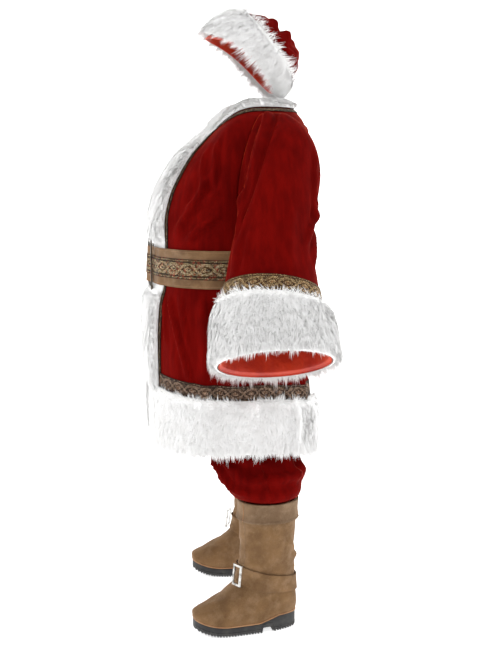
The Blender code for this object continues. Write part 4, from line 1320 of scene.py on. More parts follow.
@dataclass
class Sleeve:
    """One sleeve with its braid, fur cuff and the lining inside the cuff. Columns are as in the frame."""

    finishes: Finishes
    jacket: Jacket
    side: Side
    rows: SizeTable = SizeTable((
        (0.00, 0.2515, 1.266, 0.258, 1.565, -0.018, 0.180),
        (0.06, 0.2545, 1.246, 0.316, 1.500, -0.028, 0.172),
        (0.14, 0.2590, 1.200, 0.362, 1.385, -0.048, 0.156),
        (0.24, 0.2640, 1.124, 0.396, 1.250, -0.080, 0.144),
        (0.34, 0.2740, 1.040, 0.434, 1.138, -0.102, 0.149),
        (0.39, 0.2920, 0.992, 0.462, 1.090, -0.112, 0.153),
        (0.54, 0.3680, 0.853, 0.540, 0.955, -0.132, 0.160),
    ))
    head: float = 0.06
    braid_start: float = 0.345
    cuff_start: float = 0.390
    end: float = 0.540
    fur_end: float = 0.552
    fur_depth: float = 0.032
    lift: float = 0.006
    tilt: float = 0.014

    def __post_init__(self) -> None:
        """Makes the folded surface."""
        self.cloth = Cloth(self.place, 0.115, SLEEVE_FOLDS, slack=0.0010, outside=-1, pressed=self.pressed)

    def pressed(self, across: Array, along: Array) -> Array:
        """Folds fade at the armhole's seam and at the braid."""
        return eased((along + self.head) / 0.03) * eased((self.braid_start + 0.01 - along) / 0.03)

    def ring(self, across: Array, along: Array) -> Array:
        """Points of the tube below its head."""
        _, inner_x, inner_height, outer_x, outer_height, front, back = self.rows.at(along)
        zero = np.zeros_like(inner_x)
        inner = np.stack([inner_x, zero, inner_height], -1)
        outer = np.stack([outer_x, zero, outer_height], -1)
        centre = (inner + outer) / 2 + np.stack([zero, (front + back) / 2, zero], -1)
        half = (outer - inner) / 2
        depth = np.stack([zero, (back - front) / 2, zero], -1)
        points = centre + half * np.cos(across)[..., None] + depth * np.sin(across)[..., None]
        return points - [0, 0, SHOULDER_HEIGHT]

    def armhole(self, across: Array) -> Array:
        """Points of the sleeve's head, on the jacket just outside the armhole's edge."""
        middle, half = (ARMHOLE_TOP + ARMHOLE_BOTTOM) / 2, (ARMHOLE_TOP - ARMHOLE_BOTTOM) / 2
        height = middle + half * np.cos(across)
        share = np.sin(across)
        shape = self.jacket.shape
        turn = np.where(share > 0, shape.armhole_back, shape.armhole_front) * share
        return self.jacket.cloth.points(turn, height, CLOTH + SEAM)

    def place(self, across: Array, along: Array) -> Array:
        """Points of the whole sleeve. Turn 0 is its outer side and 90 degrees its back."""
        across, along = np.broadcast_arrays(across, along)
        t = np.clip((along + self.head) / (2 * self.head), -0.05, 1)[..., None]
        bend = self.ring(across, np.zeros_like(along))
        foot = self.ring(across, np.full_like(along, self.head))
        cap = (1 - t) ** 2 * self.armhole(across) + 2 * t * (1 - t) * bend + t**2 * foot
        return np.where((along < self.head)[..., None], cap, self.ring(across, np.maximum(along, self.head)))

    def worn(self, grid: Grid) -> Grid:
        """The grid on this sleeve's side."""
        return grid.mirrored() if self.side is Side.RIGHT else grid

    def slanted(self, across: Array, along: Array, share: Array | float = 1.0) -> Array:
        """Places along the sleeve for its braid and cuff, which lie lower at the back."""
        return along + share * (self.lift + self.tilt * np.sin(across))

    def tube(self, columns: int, alongs: Array, out: float, smooth: bool = False, slant: float = 0.0) -> Grid:
        """A closed grid round the sleeve."""
        across, along = np.meshgrid(round_turns(columns), alongs)
        along = self.slanted(across, along, slant)
        points = self.cloth.place(across, along) if smooth else self.cloth.points(across, along, out)
        return self.worn(Grid(points, closed=True, flip=True))

    def build(self) -> None:
        """Makes every piece of the sleeve."""
        word = self.side.word
        name = "sleeve_" + word
        alongs = np.linspace(-self.head, self.end, 76)
        velvet = self.finishes.velvet.material(name + "_velvet")
        sewn = Sewn(CLOTH, velvet, "velvet", "hung", ["jacket_front_" + word, "jacket_back"])
        sewn.make(name, self.tube(84, alongs, 0.0), self.tube(84, alongs, 0.0, smooth=True))
        name = "sleeve_braid_" + word
        alongs = np.linspace(self.braid_start, self.cuff_start - LAYER, 9)
        grid = self.tube(160, alongs, CLOTH + 2 * LAYER, slant=1.0)
        grid = Grid(grid.points, True, grid.flip, metre_map(grid.points))
        woven = self.finishes.braid.material(name + "_braid")
        smooth = self.tube(160, alongs, 0.0, smooth=True, slant=1.0)
        Sewn(BRAID, woven, "brocade", "stretched", ["sleeve_" + word]).make(name, grid, smooth)
        self.build_cuff(word)

    def cuff_region(self, s: Array, t: Array) -> tuple[Array, Array]:
        """The fur cuff's places."""
        turn = FULL_TURN * s
        return turn, self.slanted(turn, self.cuff_start + (self.fur_end - self.cuff_start) * t, 1 - t)

    def build_cuff(self, word: str) -> None:
        """The fur cuff and the satin inside it."""
        hair = Hair(self.fur_depth, 27000, seed=41 + self.side.value, fall=(0.0, 1.0))
        seat = CLOTH + LAYER
        pelt = Pelt("cuff_fur_" + word, self.cloth, self.cuff_region, hair, (110, 20), seat, True, self.side)
        pelt.build(self.finishes.fur, ["sleeve_" + word])
        name = "cuff_lining_" + word
        beyond = np.linspace(self.end, self.fur_end, 8)[1:]
        alongs = np.concatenate([np.linspace(self.cuff_start, self.end, 14), beyond])
        across, along = np.meshgrid(round_turns(84), alongs)
        pucker = 0.0012 * np.sin(9 * across + 30 * along) * np.sin(40 * along) - 0.0016 * np.exp(
            -(((across - 0.10) / 0.05) ** 2)
        )
        flare = (CLOTH + 0.0045) * eased((along - self.end - 0.0005) / 0.009)
        points = self.cloth.points(across, along, -(LINING + LAYER) - 0.001 + pucker + flare)
        grid = self.worn(Grid(points, True, True))
        smooth = self.worn(Grid(self.cloth.place(across, along), True, True))
        satin = self.finishes.satin.material(name + "_satin")
        Sewn(LINING, satin, "satin", "hung", ["sleeve_" + word]).make(name, grid, smooth)


# ---------------------------------------------------------------- trousers


LEG_FOLDS = folds(
    (-1.35, 0.590, 0.10, 0.560, 0.0120, 0.0110, 0.016),
    (-1.60, 0.560, -1.05, 0.490, 0.0100, 0.0100, 0.008),
    (-1.90, 0.520, -0.50, 0.478, 0.0110, 0.0060, -0.006),
    (-1.20, 0.620, -0.70, 0.545, 0.0090, 0.0060, -0.008),
    (0.55, 0.610, 0.95, 0.500, 0.0150, 0.0060, 0.008),
    (0.30, 0.520, 1.60, 0.500, 0.0130, 0.0055, 0.008),
    (1.60, 0.620, 1.35, 0.500, 0.0130, 0.0070, -0.008),
    (2.10, 0.600, 2.50, 0.490, 0.0120, 0.0070, 0.006),
    (2.60, 0.540, -2.60, 0.520, 0.0120, 0.0065, 0.010),
    (-2.50, 0.600, -2.10, 0.500, 0.0120, 0.0070, 0.004),
    (-0.60, 0.760, -0.30, 0.640, 0.0140, 0.0060, 0.006),
    (0.80, 0.780, 0.60, 0.640, 0.0150, 0.0060, -0.006),
)


@dataclass
class TrouserLeg:
    """One leg's front and back panels. The columns are height, centre, half width, front and back."""

    finishes: Finishes
    side: Side
    rows: SizeTable = SizeTable((
        (0.395, 0.2095, 0.0500, -0.014, 0.106),
        (0.436, 0.2095, 0.0520, -0.018, 0.110),
        (0.450, 0.2080, 0.0680, -0.036, 0.124),
        (0.456, 0.2065, 0.0830, -0.056, 0.138),
        (0.482, 0.2030, 0.0920, -0.078, 0.147),
        (0.520, 0.1940, 0.0920, -0.098, 0.148),
        (0.600, 0.1620, 0.0920, -0.124, 0.132),
        (0.690, 0.1260, 0.1050, -0.140, 0.145),
        (0.755, 0.1180, 0.1155, -0.158, 0.148),
        (0.790, 0.0870, 0.1410, -0.172, 0.150),
        (0.840, 0.0460, 0.1770, -0.188, 0.150),
        (0.920, 0.0000, 0.2170, -0.202, 0.146),
        (1.000, 0.0000, 0.2110, -0.206, 0.134),
        (1.090, 0.0000, 0.2030, -0.205, 0.122),
        (1.130, 0.0000, 0.2000, -0.203, 0.120),
    ))
    setback: float = 0.055
    setback_top: float = 0.75
    setback_full: float = 0.45
    waistband: float = 1.090

    def __post_init__(self) -> None:
        """Makes the folded surface."""
        self.cloth = Cloth(self.place, 0.1, LEG_FOLDS, slack=0.0013, pressed=self.pressed)

    @staticmethod
    def pressed(across: Array, along: Array) -> Array:
        """Folds fade where the leg goes into the boot."""
        return eased((along - 0.452) / 0.03) * (1 - 0.6 * eased((along - 0.80) / 0.10))

    def place(self, across: Array, along: Array) -> Array:
        """Points of the left leg. Turn 0 is its outer side."""
        _, centre, half_width, front, back = self.rows.at(along)
        middle = (front + back) / 2
        x, y = half_width * np.cos(across), (back - front) / 2 * np.sin(across)
        share = np.clip((self.setback_top - along) / (self.setback_top - self.setback_full), 0, 1)
        behind = self.setback * share**2.5 if self.side is Side.RIGHT else 0.0
        return np.stack([centre + x, middle + y + behind, along - SHOULDER_HEIGHT + 0 * x], -1)

    def panel_grid(self, facing: int) -> tuple[Array, Array]:
        """Turns and heights of one panel: facing is -1 in front and 1 behind."""
        low = np.linspace(0.395, 0.456, 10, endpoint=False)
        along = np.concatenate([low, np.linspace(0.456, self.waistband, 74)])[:, None]
        _, centre, half_width, _, _ = self.rows.at(along)
        clearance = SEAM / 2 + CLOTH * np.minimum(1.0, centre / half_width)
        start = np.arccos(np.clip((clearance - centre) / half_width, -1, 1))
        across = facing * start * (1 - np.linspace(0, 1, 33)[None, :])
        return across, np.broadcast_to(along, across.shape)

    def build(self) -> None:
        """Makes both panels."""
        for face, facing in (("front", -1), ("back", 1)):
            name = f"trouser_{face}_{self.side.word}"
            grid = self.panel_grid(facing)
            flip = facing > 0
            made = Grid(self.cloth.points(*grid), flip=flip)
            smooth = Grid(self.cloth.place(*grid), flip=flip)
            if self.side is Side.RIGHT:
                made, smooth = made.mirrored(), smooth.mirrored()
            velvet = self.finishes.velvet.material(name + "_velvet")
            Sewn(CLOTH, velvet, "velvet", "hung", ["trouser_waistband"]).make(name, made, smooth)


@dataclass
class Waistband:
    """The trousers' gathered waist casing."""

    finishes: Finishes
    low: float = 1.0903
    high: float = 1.130
    gathers: int = 46
    depth: float = 0.0011

    def build(self) -> None:
        """Makes the casing."""
        leg = TrouserLeg(self.finishes, Side.LEFT)
        across, along = np.meshgrid(round_turns(240), np.linspace(self.low, self.high, 9))
        smooth = leg.place(across, along)
        ripple = self.depth * np.sin(self.gathers * across + 1.5 * np.sin(5 * across))
        points = smooth + leg.cloth.axes(across, along)[2] * ripple[..., None]
        velvet = self.finishes.velvet.material("trouser_waistband_velvet")
        sewn = Sewn(CLOTH, velvet, "velvet", "gathered", ["trouser_front_left", "trouser_front_right"])
        sewn.make("trouser_waistband", Grid(points, True), Grid(smooth, True))


# ---------------------------------------------------------------- hat


HAT_FOLDS = folds(
    (0.35, 0.135, 1.60, 0.215, 0.0120, -0.0120, 0.010),
    (0.20, 0.185, 1.25, 0.160, 0.0110, 0.0080, 0.006),
    (-0.20, 0.110, -0.65, 0.200, 0.0110, 0.0060, -0.006),
    (0.75, 0.105, 0.95, 0.150, 0.0090, 0.0050, 0.003),
    (1.55, 0.108, 1.45, 0.165, 0.0110, 0.0055, -0.003),
    (2.30, 0.108, 2.05, 0.190, 0.0120, 0.0065, 0.008),
    (2.90, 0.120, 1.80, 0.205, 0.0110, -0.0090, -0.008),
    (-2.40, 0.110, -2.10, 0.190, 0.0110, 0.0060, 0.004),
    (-1.50, 0.115, -1.20, 0.200, 0.0120, 0.0060, -0.004),
)


@dataclass
class Hat:
    """The hat's crown, fur brim, lining and folded end. Each row spans from its top point to its low one."""

    finishes: Finishes
    rows: SizeTable = SizeTable((
        (0.0000, -0.095, 1.783, 0.102, 1.623, 0.088),
        (0.0275, -0.070, 1.804, 0.115, 1.634, 0.092),
        (0.0550, -0.042, 1.822, 0.126, 1.645, 0.094),
        (0.0825, -0.014, 1.835, 0.136, 1.656, 0.094),
        (0.1100, 0.014, 1.842, 0.144, 1.667, 0.092),
        (0.1500, 0.066, 1.835, 0.156, 1.682, 0.086),
        (0.1800, 0.103, 1.809, 0.162, 1.694, 0.074),
        (0.2000, 0.125, 1.784, 0.167, 1.704, 0.062),
        (0.2200, 0.150, 1.764, 0.171, 1.716, 0.044),
        (0.2400, 0.169, 1.748, 0.174, 1.730, 0.020),
    ))
    tail: SizeTable = SizeTable((
        (0.00, -0.060, 0.163, 1.747, 0.014, 0.027),
        (0.14, -0.084, 0.162, 1.740, 0.014, 0.028),
        (0.32, -0.106, 0.154, 1.720, 0.016, 0.031),
        (0.56, -0.126, 0.140, 1.688, 0.015, 0.030),
        (0.80, -0.140, 0.128, 1.650, 0.012, 0.024),
        (1.00, -0.146, 0.120, 1.618, 0.008, 0.012),
    ))
    crown_end: float = 0.240
    brim_end: float = 0.105
    rim_rise: float = 0.026
    lip: float = 0.010
    lining_depth: float = 0.070
    fur_depth: float = 0.028

    def __post_init__(self) -> None:
        """Makes the folded surface."""
        self.cloth = Cloth(self.place, 0.09, HAT_FOLDS, slack=0.0012, outside=-1, pressed=self.pressed)

    def pressed(self, across: Array, along: Array) -> Array:
        """Folds stay above the brim and fade at the tip."""
        return eased((along - self.brim_end + 0.01) / 0.03) * eased((self.crown_end + 0.004 - along) / 0.03)

    def place(self, across: Array, along: Array) -> Array:
        """Points of the crown. Turn 0 is the wearer's left side and 90 degrees the top."""
        rise = self.rim_rise * np.cos(across) ** 2 * np.maximum(0.0, 1 - along / self.brim_end)
        _, top_y, top_height, low_y, low_height, half_width = self.rows.at(along + rise)
        beyond = np.clip((along - self.crown_end) / 0.008, 0, 1)
        close = np.sqrt(1 - beyond**2)
        middle_y, middle_height = (top_y + low_y) / 2, (top_height + low_height) / 2
        x = half_width * close * np.cos(across)
        y = middle_y + (top_y - low_y) / 2 * close * np.sin(across)
        height = middle_height + (top_height - low_height) / 2 * close * np.sin(across)
        return np.stack([x, y, height - SHOULDER_HEIGHT], -1)

    def ring_grid(self, columns: int, alongs: Array, out: float, smooth: bool = False) -> Grid:
        """A closed grid round the hat."""
        across, along = np.meshgrid(round_turns(columns), alongs)
        points = self.cloth.place(across, along) if smooth else self.cloth.points(across, along, out)
        return Grid(points, closed=True, flip=True)

    def brim_region(self, s: Array, t: Array) -> tuple[Array, Array]:
        """The fur brim's places."""
        return FULL_TURN * s, self.brim_end * t

    def build(self) -> None:
        """Makes every piece of the hat."""
        finishes = self.finishes
        beyond = self.crown_end + 0.008 * np.sin(np.linspace(0, math.pi / 2, 7)[1:])
        beyond = np.minimum(beyond, self.crown_end + 0.00796)
        alongs = np.concatenate([np.linspace(0, self.crown_end, 60), beyond])
        crown = Sewn(CLOTH, finishes.velvet.material("hat_crown_velvet"), "velvet", "hung", ["hat_brim_fur"])
        crown.make("hat_crown", self.ring_grid(84, alongs, 0.0), self.ring_grid(84, alongs, 0.0, smooth=True))
        hair = Hair(self.fur_depth, 24000, seed=51, fall=(0.0, -1.0), loft=0.52)
        pelt = Pelt("hat_brim_fur", self.cloth, self.brim_region, hair, (90, 16), CLOTH + LAYER, True)
        pelt.build(finishes.fur, ["hat_crown"])
        alongs = np.linspace(-self.lip, self.lining_depth, 14)
        inside = self.ring_grid(84, alongs, -(LINING + LAYER))
        lining = Sewn(LINING, finishes.satin.material("hat_lining_satin"), "satin", "hung", ["hat_crown"])
        lining.make("hat_lining", inside, self.ring_grid(84, alongs, 0.0, smooth=True))
        self.build_tail()

    def tail_place(self, across: Array, along: Array) -> Array:
        """Points of the folded end, a flattened tube that tapers to its point."""
        _, x, y, height, thick, wide = self.tail.at(along)
        ahead = unit(np.moveaxis(self.tail.at(along + 0.01)[1:4] - self.tail.at(along - 0.01)[1:4], 0, -1))
        flat = unit(np.array([0.0, 1.0, 0.0]) - ahead * ahead[..., 1:2])
        thin = np.cross(ahead, flat)
        end = np.sqrt(np.clip((1.0 - along) / 0.06, 0, 1))[..., None]
        centre = np.stack([x, y, height - SHOULDER_HEIGHT], -1)
        sideways = flat * (wide * np.cos(across))[..., None]
        return centre + end * (sideways + thin * (thick * np.sin(across))[..., None])

    def build_tail(self) -> None:
        """Makes the folded end."""
        creases = folds(
            (0.4, 0.05, 1.0, 0.75, 0.006, 0.004, 0.0),
            (2.2, 0.02, 2.6, 0.60, 0.006, -0.004, 0.0),
            (-1.3, 0.02, -0.8, 0.80, 0.007, 0.004, 0.0),
        )
        cloth = Cloth(self.tail_place, 0.03, creases, slack=0.0009)
        alongs = np.concatenate([np.linspace(0.01, 0.94, 44), [0.96, 0.98, 0.99, 0.997]])
        across, along = np.meshgrid(round_turns(48), alongs)
        velvet = self.finishes.velvet.material("hat_tail_velvet")
        tail = Sewn(CLOTH / 2, velvet, "velvet", "hung", ["hat_crown"])
        smooth = Grid(self.tail_place(across, along), True)
        tail.make("hat_tail", Grid(cloth.points(across, along), True), smooth)


# ---------------------------------------------------------------- belt


@dataclass
class Belt:
    """The leather strap, its figured braid with beads, and the frame's own buckle."""

    finishes: Finishes
    jacket: Jacket
    frame_nodes: dict[str, bpy.types.Object]
    bottom: float = 1.0665
    top: float = 1.1735
    braid_width: float = 0.056
    repeat: float = 0.052
    side_stand_off: float = 0.0045
    stand_off: SizeTable = SizeTable((
        (0.000, 0.0295),
        (0.012, 0.0280),
        (0.027, 0.0200),
        (0.041, 0.0142),
        (0.067, 0.0142),
        (0.100, 0.0142),
        (0.1245, 0.0075),
        (0.160, 0.0045),
    ))

    def __post_init__(self) -> None:
        """Makes the strap's surface."""
        self.cloth = Cloth(self.place, 0.24)

    def place(self, across: Array, along: Array) -> Array:
        """Points of the strap's inner face."""
        body = self.jacket.cloth
        x = np.abs(body.place(across, along)[..., 0])
        front = np.sin(across) < 0
        away = self.stand_off.at(np.minimum(x, 0.160))[1]
        lift = np.where(front, away, self.side_stand_off)
        return body.place(across, along) + body.axes(across, along)[2] * lift[..., None]

    def turns(self) -> Array:
        """Turns round the belt at even steps along it."""
        fine = np.linspace(-math.pi / 2, 1.5 * math.pi, 4001)
        middle = np.full_like(fine, (self.bottom + self.top) / 2)
        path = self.place(fine, middle)
        run = np.concatenate([[0], np.cumsum(np.linalg.norm(np.diff(path, axis=0), axis=1))])
        return np.interp(np.linspace(0, run[-1], 361)[:-1], run, fine)

    def band(self, low: float, high: float, rows: int, out: float) -> Grid:
        """A closed grid round the body between two heights."""
        across, along = np.meshgrid(self.turns(), np.linspace(low, high, rows))
        return Grid(self.cloth.points(across, along, out), closed=True)

    def build(self) -> None:
        """Makes the strap, the braid and its beads, and finishes the buckle."""
        finishes, middle = self.finishes, (self.bottom + self.top) / 2
        grid = self.band(self.bottom, self.top, 12, 0.0)
        leather = finishes.belt_leather.material("belt_strap_leather")
        held = ["jacket_front_left", "jacket_back"]
        strap = Sewn(BELT_LEATHER, leather, "belt_leather", "stretched", held).make("belt_strap", grid, grid)
        rounded(strap, 0.0009)
        low, high = middle - self.braid_width / 2, middle + self.braid_width / 2
        grid = self.band(low, high, 9, BELT_LEATHER + LAYER / 2)
        woven = finishes.belt_braid.material("belt_braid_woven")
        Sewn(BRAID, woven, "belt_brocade", "stretched", ["belt_strap"]).make("belt_braid", grid, grid)
        self.build_beads(middle)
        self.build_stitches()
        polished(self.frame_nodes["belt_buckle"], finishes.bronze.material("belt_buckle_bronze"))

    def build_beads(self, middle: float) -> None:
        """Domed dark and pale beads sewn in each lozenge of the braid."""
        across, along = np.meshgrid(self.turns(), [middle])
        run = metre_map(self.cloth.points(across, along, 0.0))[0, :, 0]
        turns, total = self.turns(), float(run[-1])
        dark, pale = [], []
        for count in range(int(total / self.repeat)):
            centre = (count + 0.5) * self.repeat
            dark.append((centre, 0.0, 0.0030))
            pale += [(centre + dx, 0.0, 0.0012) for dx in (-0.0052, 0.0052)]
            pale += [(centre + 0.5 * self.repeat, dz, 0.0013) for dz in (-0.0085, 0.0085)]
            pale += [(centre + dx, dz, 0.0010) for dx in (-0.012, 0.012) for dz in (-0.011, 0.011)]
        for name, beads, finish in (("belt_beads_dark", dark, "bronze"), ("belt_beads_pale", pale, "silver")):
            mesh = bmesh.new()
            for at, height, radius in beads:
                if not 0 < at < total:
                    continue
                turn = np.array([float(np.interp(at, run, turns))])
                level = np.array([middle + height])
                out = BELT_LEATHER + BRAID + LAYER / 2 + radius * 0.35
                spot = Matrix.Translation(Vector(self.cloth.points(turn, level, out)[0]))
                bmesh.ops.create_icosphere(mesh, subdivisions=2, radius=radius, matrix=spot)
            data = bpy.data.meshes.new(name)
            mesh.to_mesh(data)
            mesh.free()
            data.shade_smooth()
            data.materials.append(getattr(self.finishes, finish).material(name + "_gloss"))
            piece = bpy.data.objects.new(name, data)
            bpy.context.scene.collection.objects.link(piece)
            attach(piece, BODY)

    def build_stitches(self) -> None:
        """A line of stitches near each edge of the strap."""
        turns = self.turns()
        fine = np.interp(np.linspace(0, len(turns) - 1, 4 * len(turns)), np.arange(len(turns)), turns)
        starts, ends = fine[0:-2:4], fine[2::4]
        count = min(len(starts), len(ends))
        points, faces = [], []
        for height in (self.bottom + 0.0055, self.top - 0.0055):
            for offset in (-0.0004, 0.0004):
                level = np.full(count, height + offset)
                points.append(self.cloth.points(starts[:count], level, BELT_LEATHER + 0.0001))
                points.append(self.cloth.points(ends[:count], level, BELT_LEATHER + 0.0001))
            middle = (starts[:count] + ends[:count]) / 2
            points.append(self.cloth.points(middle, np.full(count, height), BELT_LEATHER + 0.0007))
        stacked = np.stack(points, 1)
        for line in (0, 5):
            first = np.arange(count)[:, None] * 10 + line
            for a, b in ((0, 1), (1, 3), (3, 2), (2, 0)):
                faces.append(first + [a, b, 4])
        thread = self.finishes.welt.material("belt_thread")
        piece = new_piece("belt_stitches", stacked.reshape(-1, 3), np.concatenate(faces), thread)


# ---------------------------------------------------------------- boots


WELT_DROP, ARCH_HEIGHT = 0.0022, 0.016
GROOVE_HEIGHT, GROOVE_DEPTH = 0.0028, 0.0030
BOOT_FOLDS = folds(
    (-1.9, 0.300, -0.9, 0.330, 0.010, -0.0022, 0.004),
    (-2.2, 0.235, -0.4, 0.262, 0.008, 0.0028, 0.005),
    (0.9, 0.255, 2.1, 0.300, 0.010, 0.0030, -0.005),
    (0.6, 0.330, 1.4, 0.250, 0.009, 0.0028, 0.006),
    (2.6, 0.300, 3.6, 0.260, 0.009, 0.0026, 0.004),
    (-1.57, 0.125, -0.3, 0.150, 0.009, 0.0020, 0.006),
    (-1.57, 0.145, -2.8, 0.165, 0.008, -0.0018, 0.004),
    (0.2, 0.110, 1.1, 0.140, 0.011, 0.0016, 0.004),
)


@dataclass
class Boot:
    """A boot with its foot, shaft, cuff, strap, welt and lugged sole. Columns are as in the frame."""

    finishes: Finishes
    side: Side
    frame_nodes: dict[str, bpy.types.Object]
    rows: SizeTable = SizeTable((
        (0.073, -0.176, 0.128, 0.0490, -0.070),
        (0.088, -0.180, 0.131, 0.0515, -0.068),
        (0.108, -0.166, 0.133, 0.0510, -0.060),
        (0.130, -0.134, 0.132, 0.0490, -0.045),
        (0.155, -0.094, 0.130, 0.0480, -0.022),
        (0.182, -0.058, 0.128, 0.0490, 0.010),
        (0.196, -0.047, 0.127, 0.0500, 0.024),
        (0.206, -0.042, 0.127, 0.0510, 0.035),
        (0.250, -0.036, 0.125, 0.0560, 0.044),
        (0.310, -0.033, 0.124, 0.0600, 0.045),
        (0.378, -0.035, 0.127, 0.0650, 0.046),
        (0.444, -0.038, 0.131, 0.0690, 0.046),
    ))
    bottom: float = 0.073
    ankle: float = 0.206
    cuff_bottom: float = 0.386
    top: float = 0.444
    centre: float = 0.2095
    toe_out: float = math.radians(5)
    toe_spring: float = 0.024
    heel_lift: float = 0.018
    setback: float = 0.055
    foot_squareness: float = 0.74
    shaft_squareness: float = 0.92
    strap_width: float = 0.050
    strap_front: float = 0.222
    strap_back: float = 0.180
    sole_edge: float = 0.004
    lug_pitch: float = 0.0088
    heel_breast: float = 0.052
    arch_front: float = 0.020

    def __post_init__(self) -> None:
        """Makes the folded surface."""
        self.cloth = Cloth(self.place, 0.06, BOOT_FOLDS, slack=0.0006)

    def stand(self, local: Array) -> Array:
        """Points in the boot's own frame, stood where the left foot is."""
        c, s = math.cos(self.toe_out), math.sin(self.toe_out)
        x = local[..., 0] * c - local[..., 1] * s + self.centre
        y = local[..., 0] * s + local[..., 1] * c
        if self.side is Side.RIGHT:
            y = y + self.setback
        return np.stack([x, y, local[..., 2] - SHOULDER_HEIGHT], -1)

    def lift(self, height: Array, y: Array) -> Array:
        """How far toe spring and heel raise the foot's points."""
        fade = np.maximum(0.0, 1 - (height - self.bottom) / 0.09)
        toe = np.maximum(0.0, (-0.075 - y) / 0.105) ** 2 * self.toe_spring
        heel = np.clip((y - 0.010) / 0.06, 0, 1) * self.heel_lift
        return fade * (toe + heel)

    def place(self, across: Array, along: Array) -> Array:
        """Points of the left boot's inner surface, by turn and height."""
        _, front, back, half_width, middle = self.rows.at(along)
        up = np.clip((along - self.bottom) / (self.ankle - self.bottom), 0, 1)
        squareness = self.foot_squareness + (self.shaft_squareness - self.foot_squareness) * up
        depth = np.sin(across)
        reach = np.where(depth > 0, back - middle, middle - front)
        x = half_width * power(np.cos(across), squareness)
        y = middle + reach * power(depth, squareness)
        return self.stand(np.stack([x, y, along + self.lift(along, y)], -1))

    def worn(self, grid: Grid) -> Grid:
        """The grid on this boot's side."""
        return grid.mirrored() if self.side is Side.RIGHT else grid

    def round_boot(self, alongs: Array, out: Array | float, columns: int = 72) -> Grid:
        """A closed grid round the boot."""
        across, along = np.meshgrid(round_turns(columns), alongs)
        away = np.broadcast_to(np.asarray(out, float).reshape(-1, 1), across.shape)
        return self.worn(Grid(self.cloth.points(across, along, away), closed=True))

    def leather(self, part: str, grid: Grid, thickness: float, finish: LeatherFinish) -> None:
        """One leather piece of the boot.

        Args:
            part: The part's name.
            grid: Its inner surface.
            thickness: Its wall.
            finish: Its finish.
        """
        name = f"boot_{part}_{self.side.word}"
        suede, held = finish.material(name + "_suede"), ["boot_sole_" + self.side.word]
        rounded(Sewn(thickness, suede, "boot_leather", "stretched", held).make(name, grid, grid), 0.0007)

    def build(self) -> None:
        """Makes every piece of the boot."""
        over, suede = LEATHER + LAYER, self.finishes.suede
        levels = np.linspace(self.bottom, self.ankle - 0.0012, 22)
        self.leather("foot", self.round_boot(levels, 0.0), LEATHER, suede)
        self.leather("shaft", self.round_boot(np.linspace(self.ankle, self.top, 34), 0.0), LEATHER, suede)
        alongs = np.linspace(self.cuff_bottom, self.top, 12)
        flare = over + 0.006 * eased((0.42 - alongs) / 0.05)
        self.leather("cuff", self.round_boot(alongs, flare), LEATHER, self.finishes.grey_suede)
        across, share = np.meshgrid(round_turns(72), np.linspace(0, 1, 9))
        middle, drop = (self.strap_front + self.strap_back) / 2, (self.strap_front - self.strap_back) / 2
        level = middle - drop * np.sin(across)
        points = self.cloth.points(across, level + (share - 0.5) * self.strap_width, over + 0.002)
        self.leather("strap", self.worn(Grid(points, True)), LEATHER * 0.85, suede)
        self.build_sole()
        self.build_seams()
        buckle = self.frame_nodes["boot_buckle_" + self.side.word]
        polished(buckle, self.finishes.silver.material(buckle.name + "_silver"))

    def sole_outline(self, y: Array, edge: float) -> Array:
        """The sole's half width at each place along the foot."""
        _, front, back, half_width, middle = self.rows.at(np.full_like(y, self.bottom))
        reach = np.where(y < middle, middle - front + edge, back + edge - middle)
        share = np.clip(np.abs(y - middle) / reach, 0, 1)
        round_off = np.maximum(0.0, 1 - share ** (2 / self.foot_squareness)) ** (self.foot_squareness / 2)
        return (half_width + edge) * np.maximum(0.12, round_off)

    def build_sole(self) -> None:
        """The rubber sole: a smooth edge over lugs, with a gap before the heel, and the welt above it."""
        _, front, back, _, _ = (float(v) for v in self.rows.at(np.array(self.bottom)))
        even = np.linspace(0, 1, 240)
        ends = 0.5 - 0.5 * np.cos(math.pi * even)
        y = front - self.sole_edge + (back - front + 2 * self.sole_edge) * (0.6 * even + 0.4 * ends)
        half = self.sole_outline(y, self.sole_edge)
        top = self.bottom + self.lift(np.full_like(y, self.bottom), y) - WELT_DROP
        arch = np.where((y > self.arch_front) & (y < self.heel_breast), ARCH_HEIGHT, 0.0)
        spring = np.maximum(0.0, (-0.075 - y) / 0.105) ** 2 * self.toe_spring
        low = SOLE_BOTTOM + np.maximum(arch, spring)
        groove = (np.sin(FULL_TURN * y / self.lug_pitch) > 0.35) & (arch == 0)
        step = np.where(groove, GROOVE_HEIGHT, 0.0)
        inset = np.where(groove, GROOVE_DEPTH, 0.0)
        shoulder = np.minimum(low + 0.013, top - 0.007)
        outer = [
            (half - 0.003 - inset, low + step),
            (half - inset * 0.6, shoulder - 0.004),
            (half, shoulder),
            (half - 0.0018, shoulder + 0.0015),
            (half - 0.0018, top - 0.003),
            (half - 0.0035, top),
        ]
        profile = [(-outer[0][0], outer[0][1])] + outer + [(-x, z) for x, z in outer[:0:-1]]
        rows = np.stack([np.stack([x, y, z], -1) for x, z in profile], 1)
        grid = self.worn(Grid(self.stand(rows), closed=True))
        points, faces = grid.points.reshape(-1, 3), grid.quads().tolist()
        count = len(profile)
        caps = [list(range(count)), list(range(len(points) - 1, len(points) - 1 - count, -1))]
        faces += [caps[0][::-1] if not grid.flip else caps[0], caps[1][::-1] if not grid.flip else caps[1]]
        mesh = bpy.data.meshes.new("boot_sole_lugs_" + self.side.word)
        mesh.from_pydata(points.tolist(), [], faces)
        mesh.materials.append(self.finishes.rubber.material(mesh.name + "_rubber"))
        mesh.shade_smooth()
        mesh.set_sharp_from_angle(angle=math.radians(35))
        piece = bpy.data.objects.new(mesh.name, mesh)
        bpy.context.scene.collection.objects.link(piece)
        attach(piece, BODY)
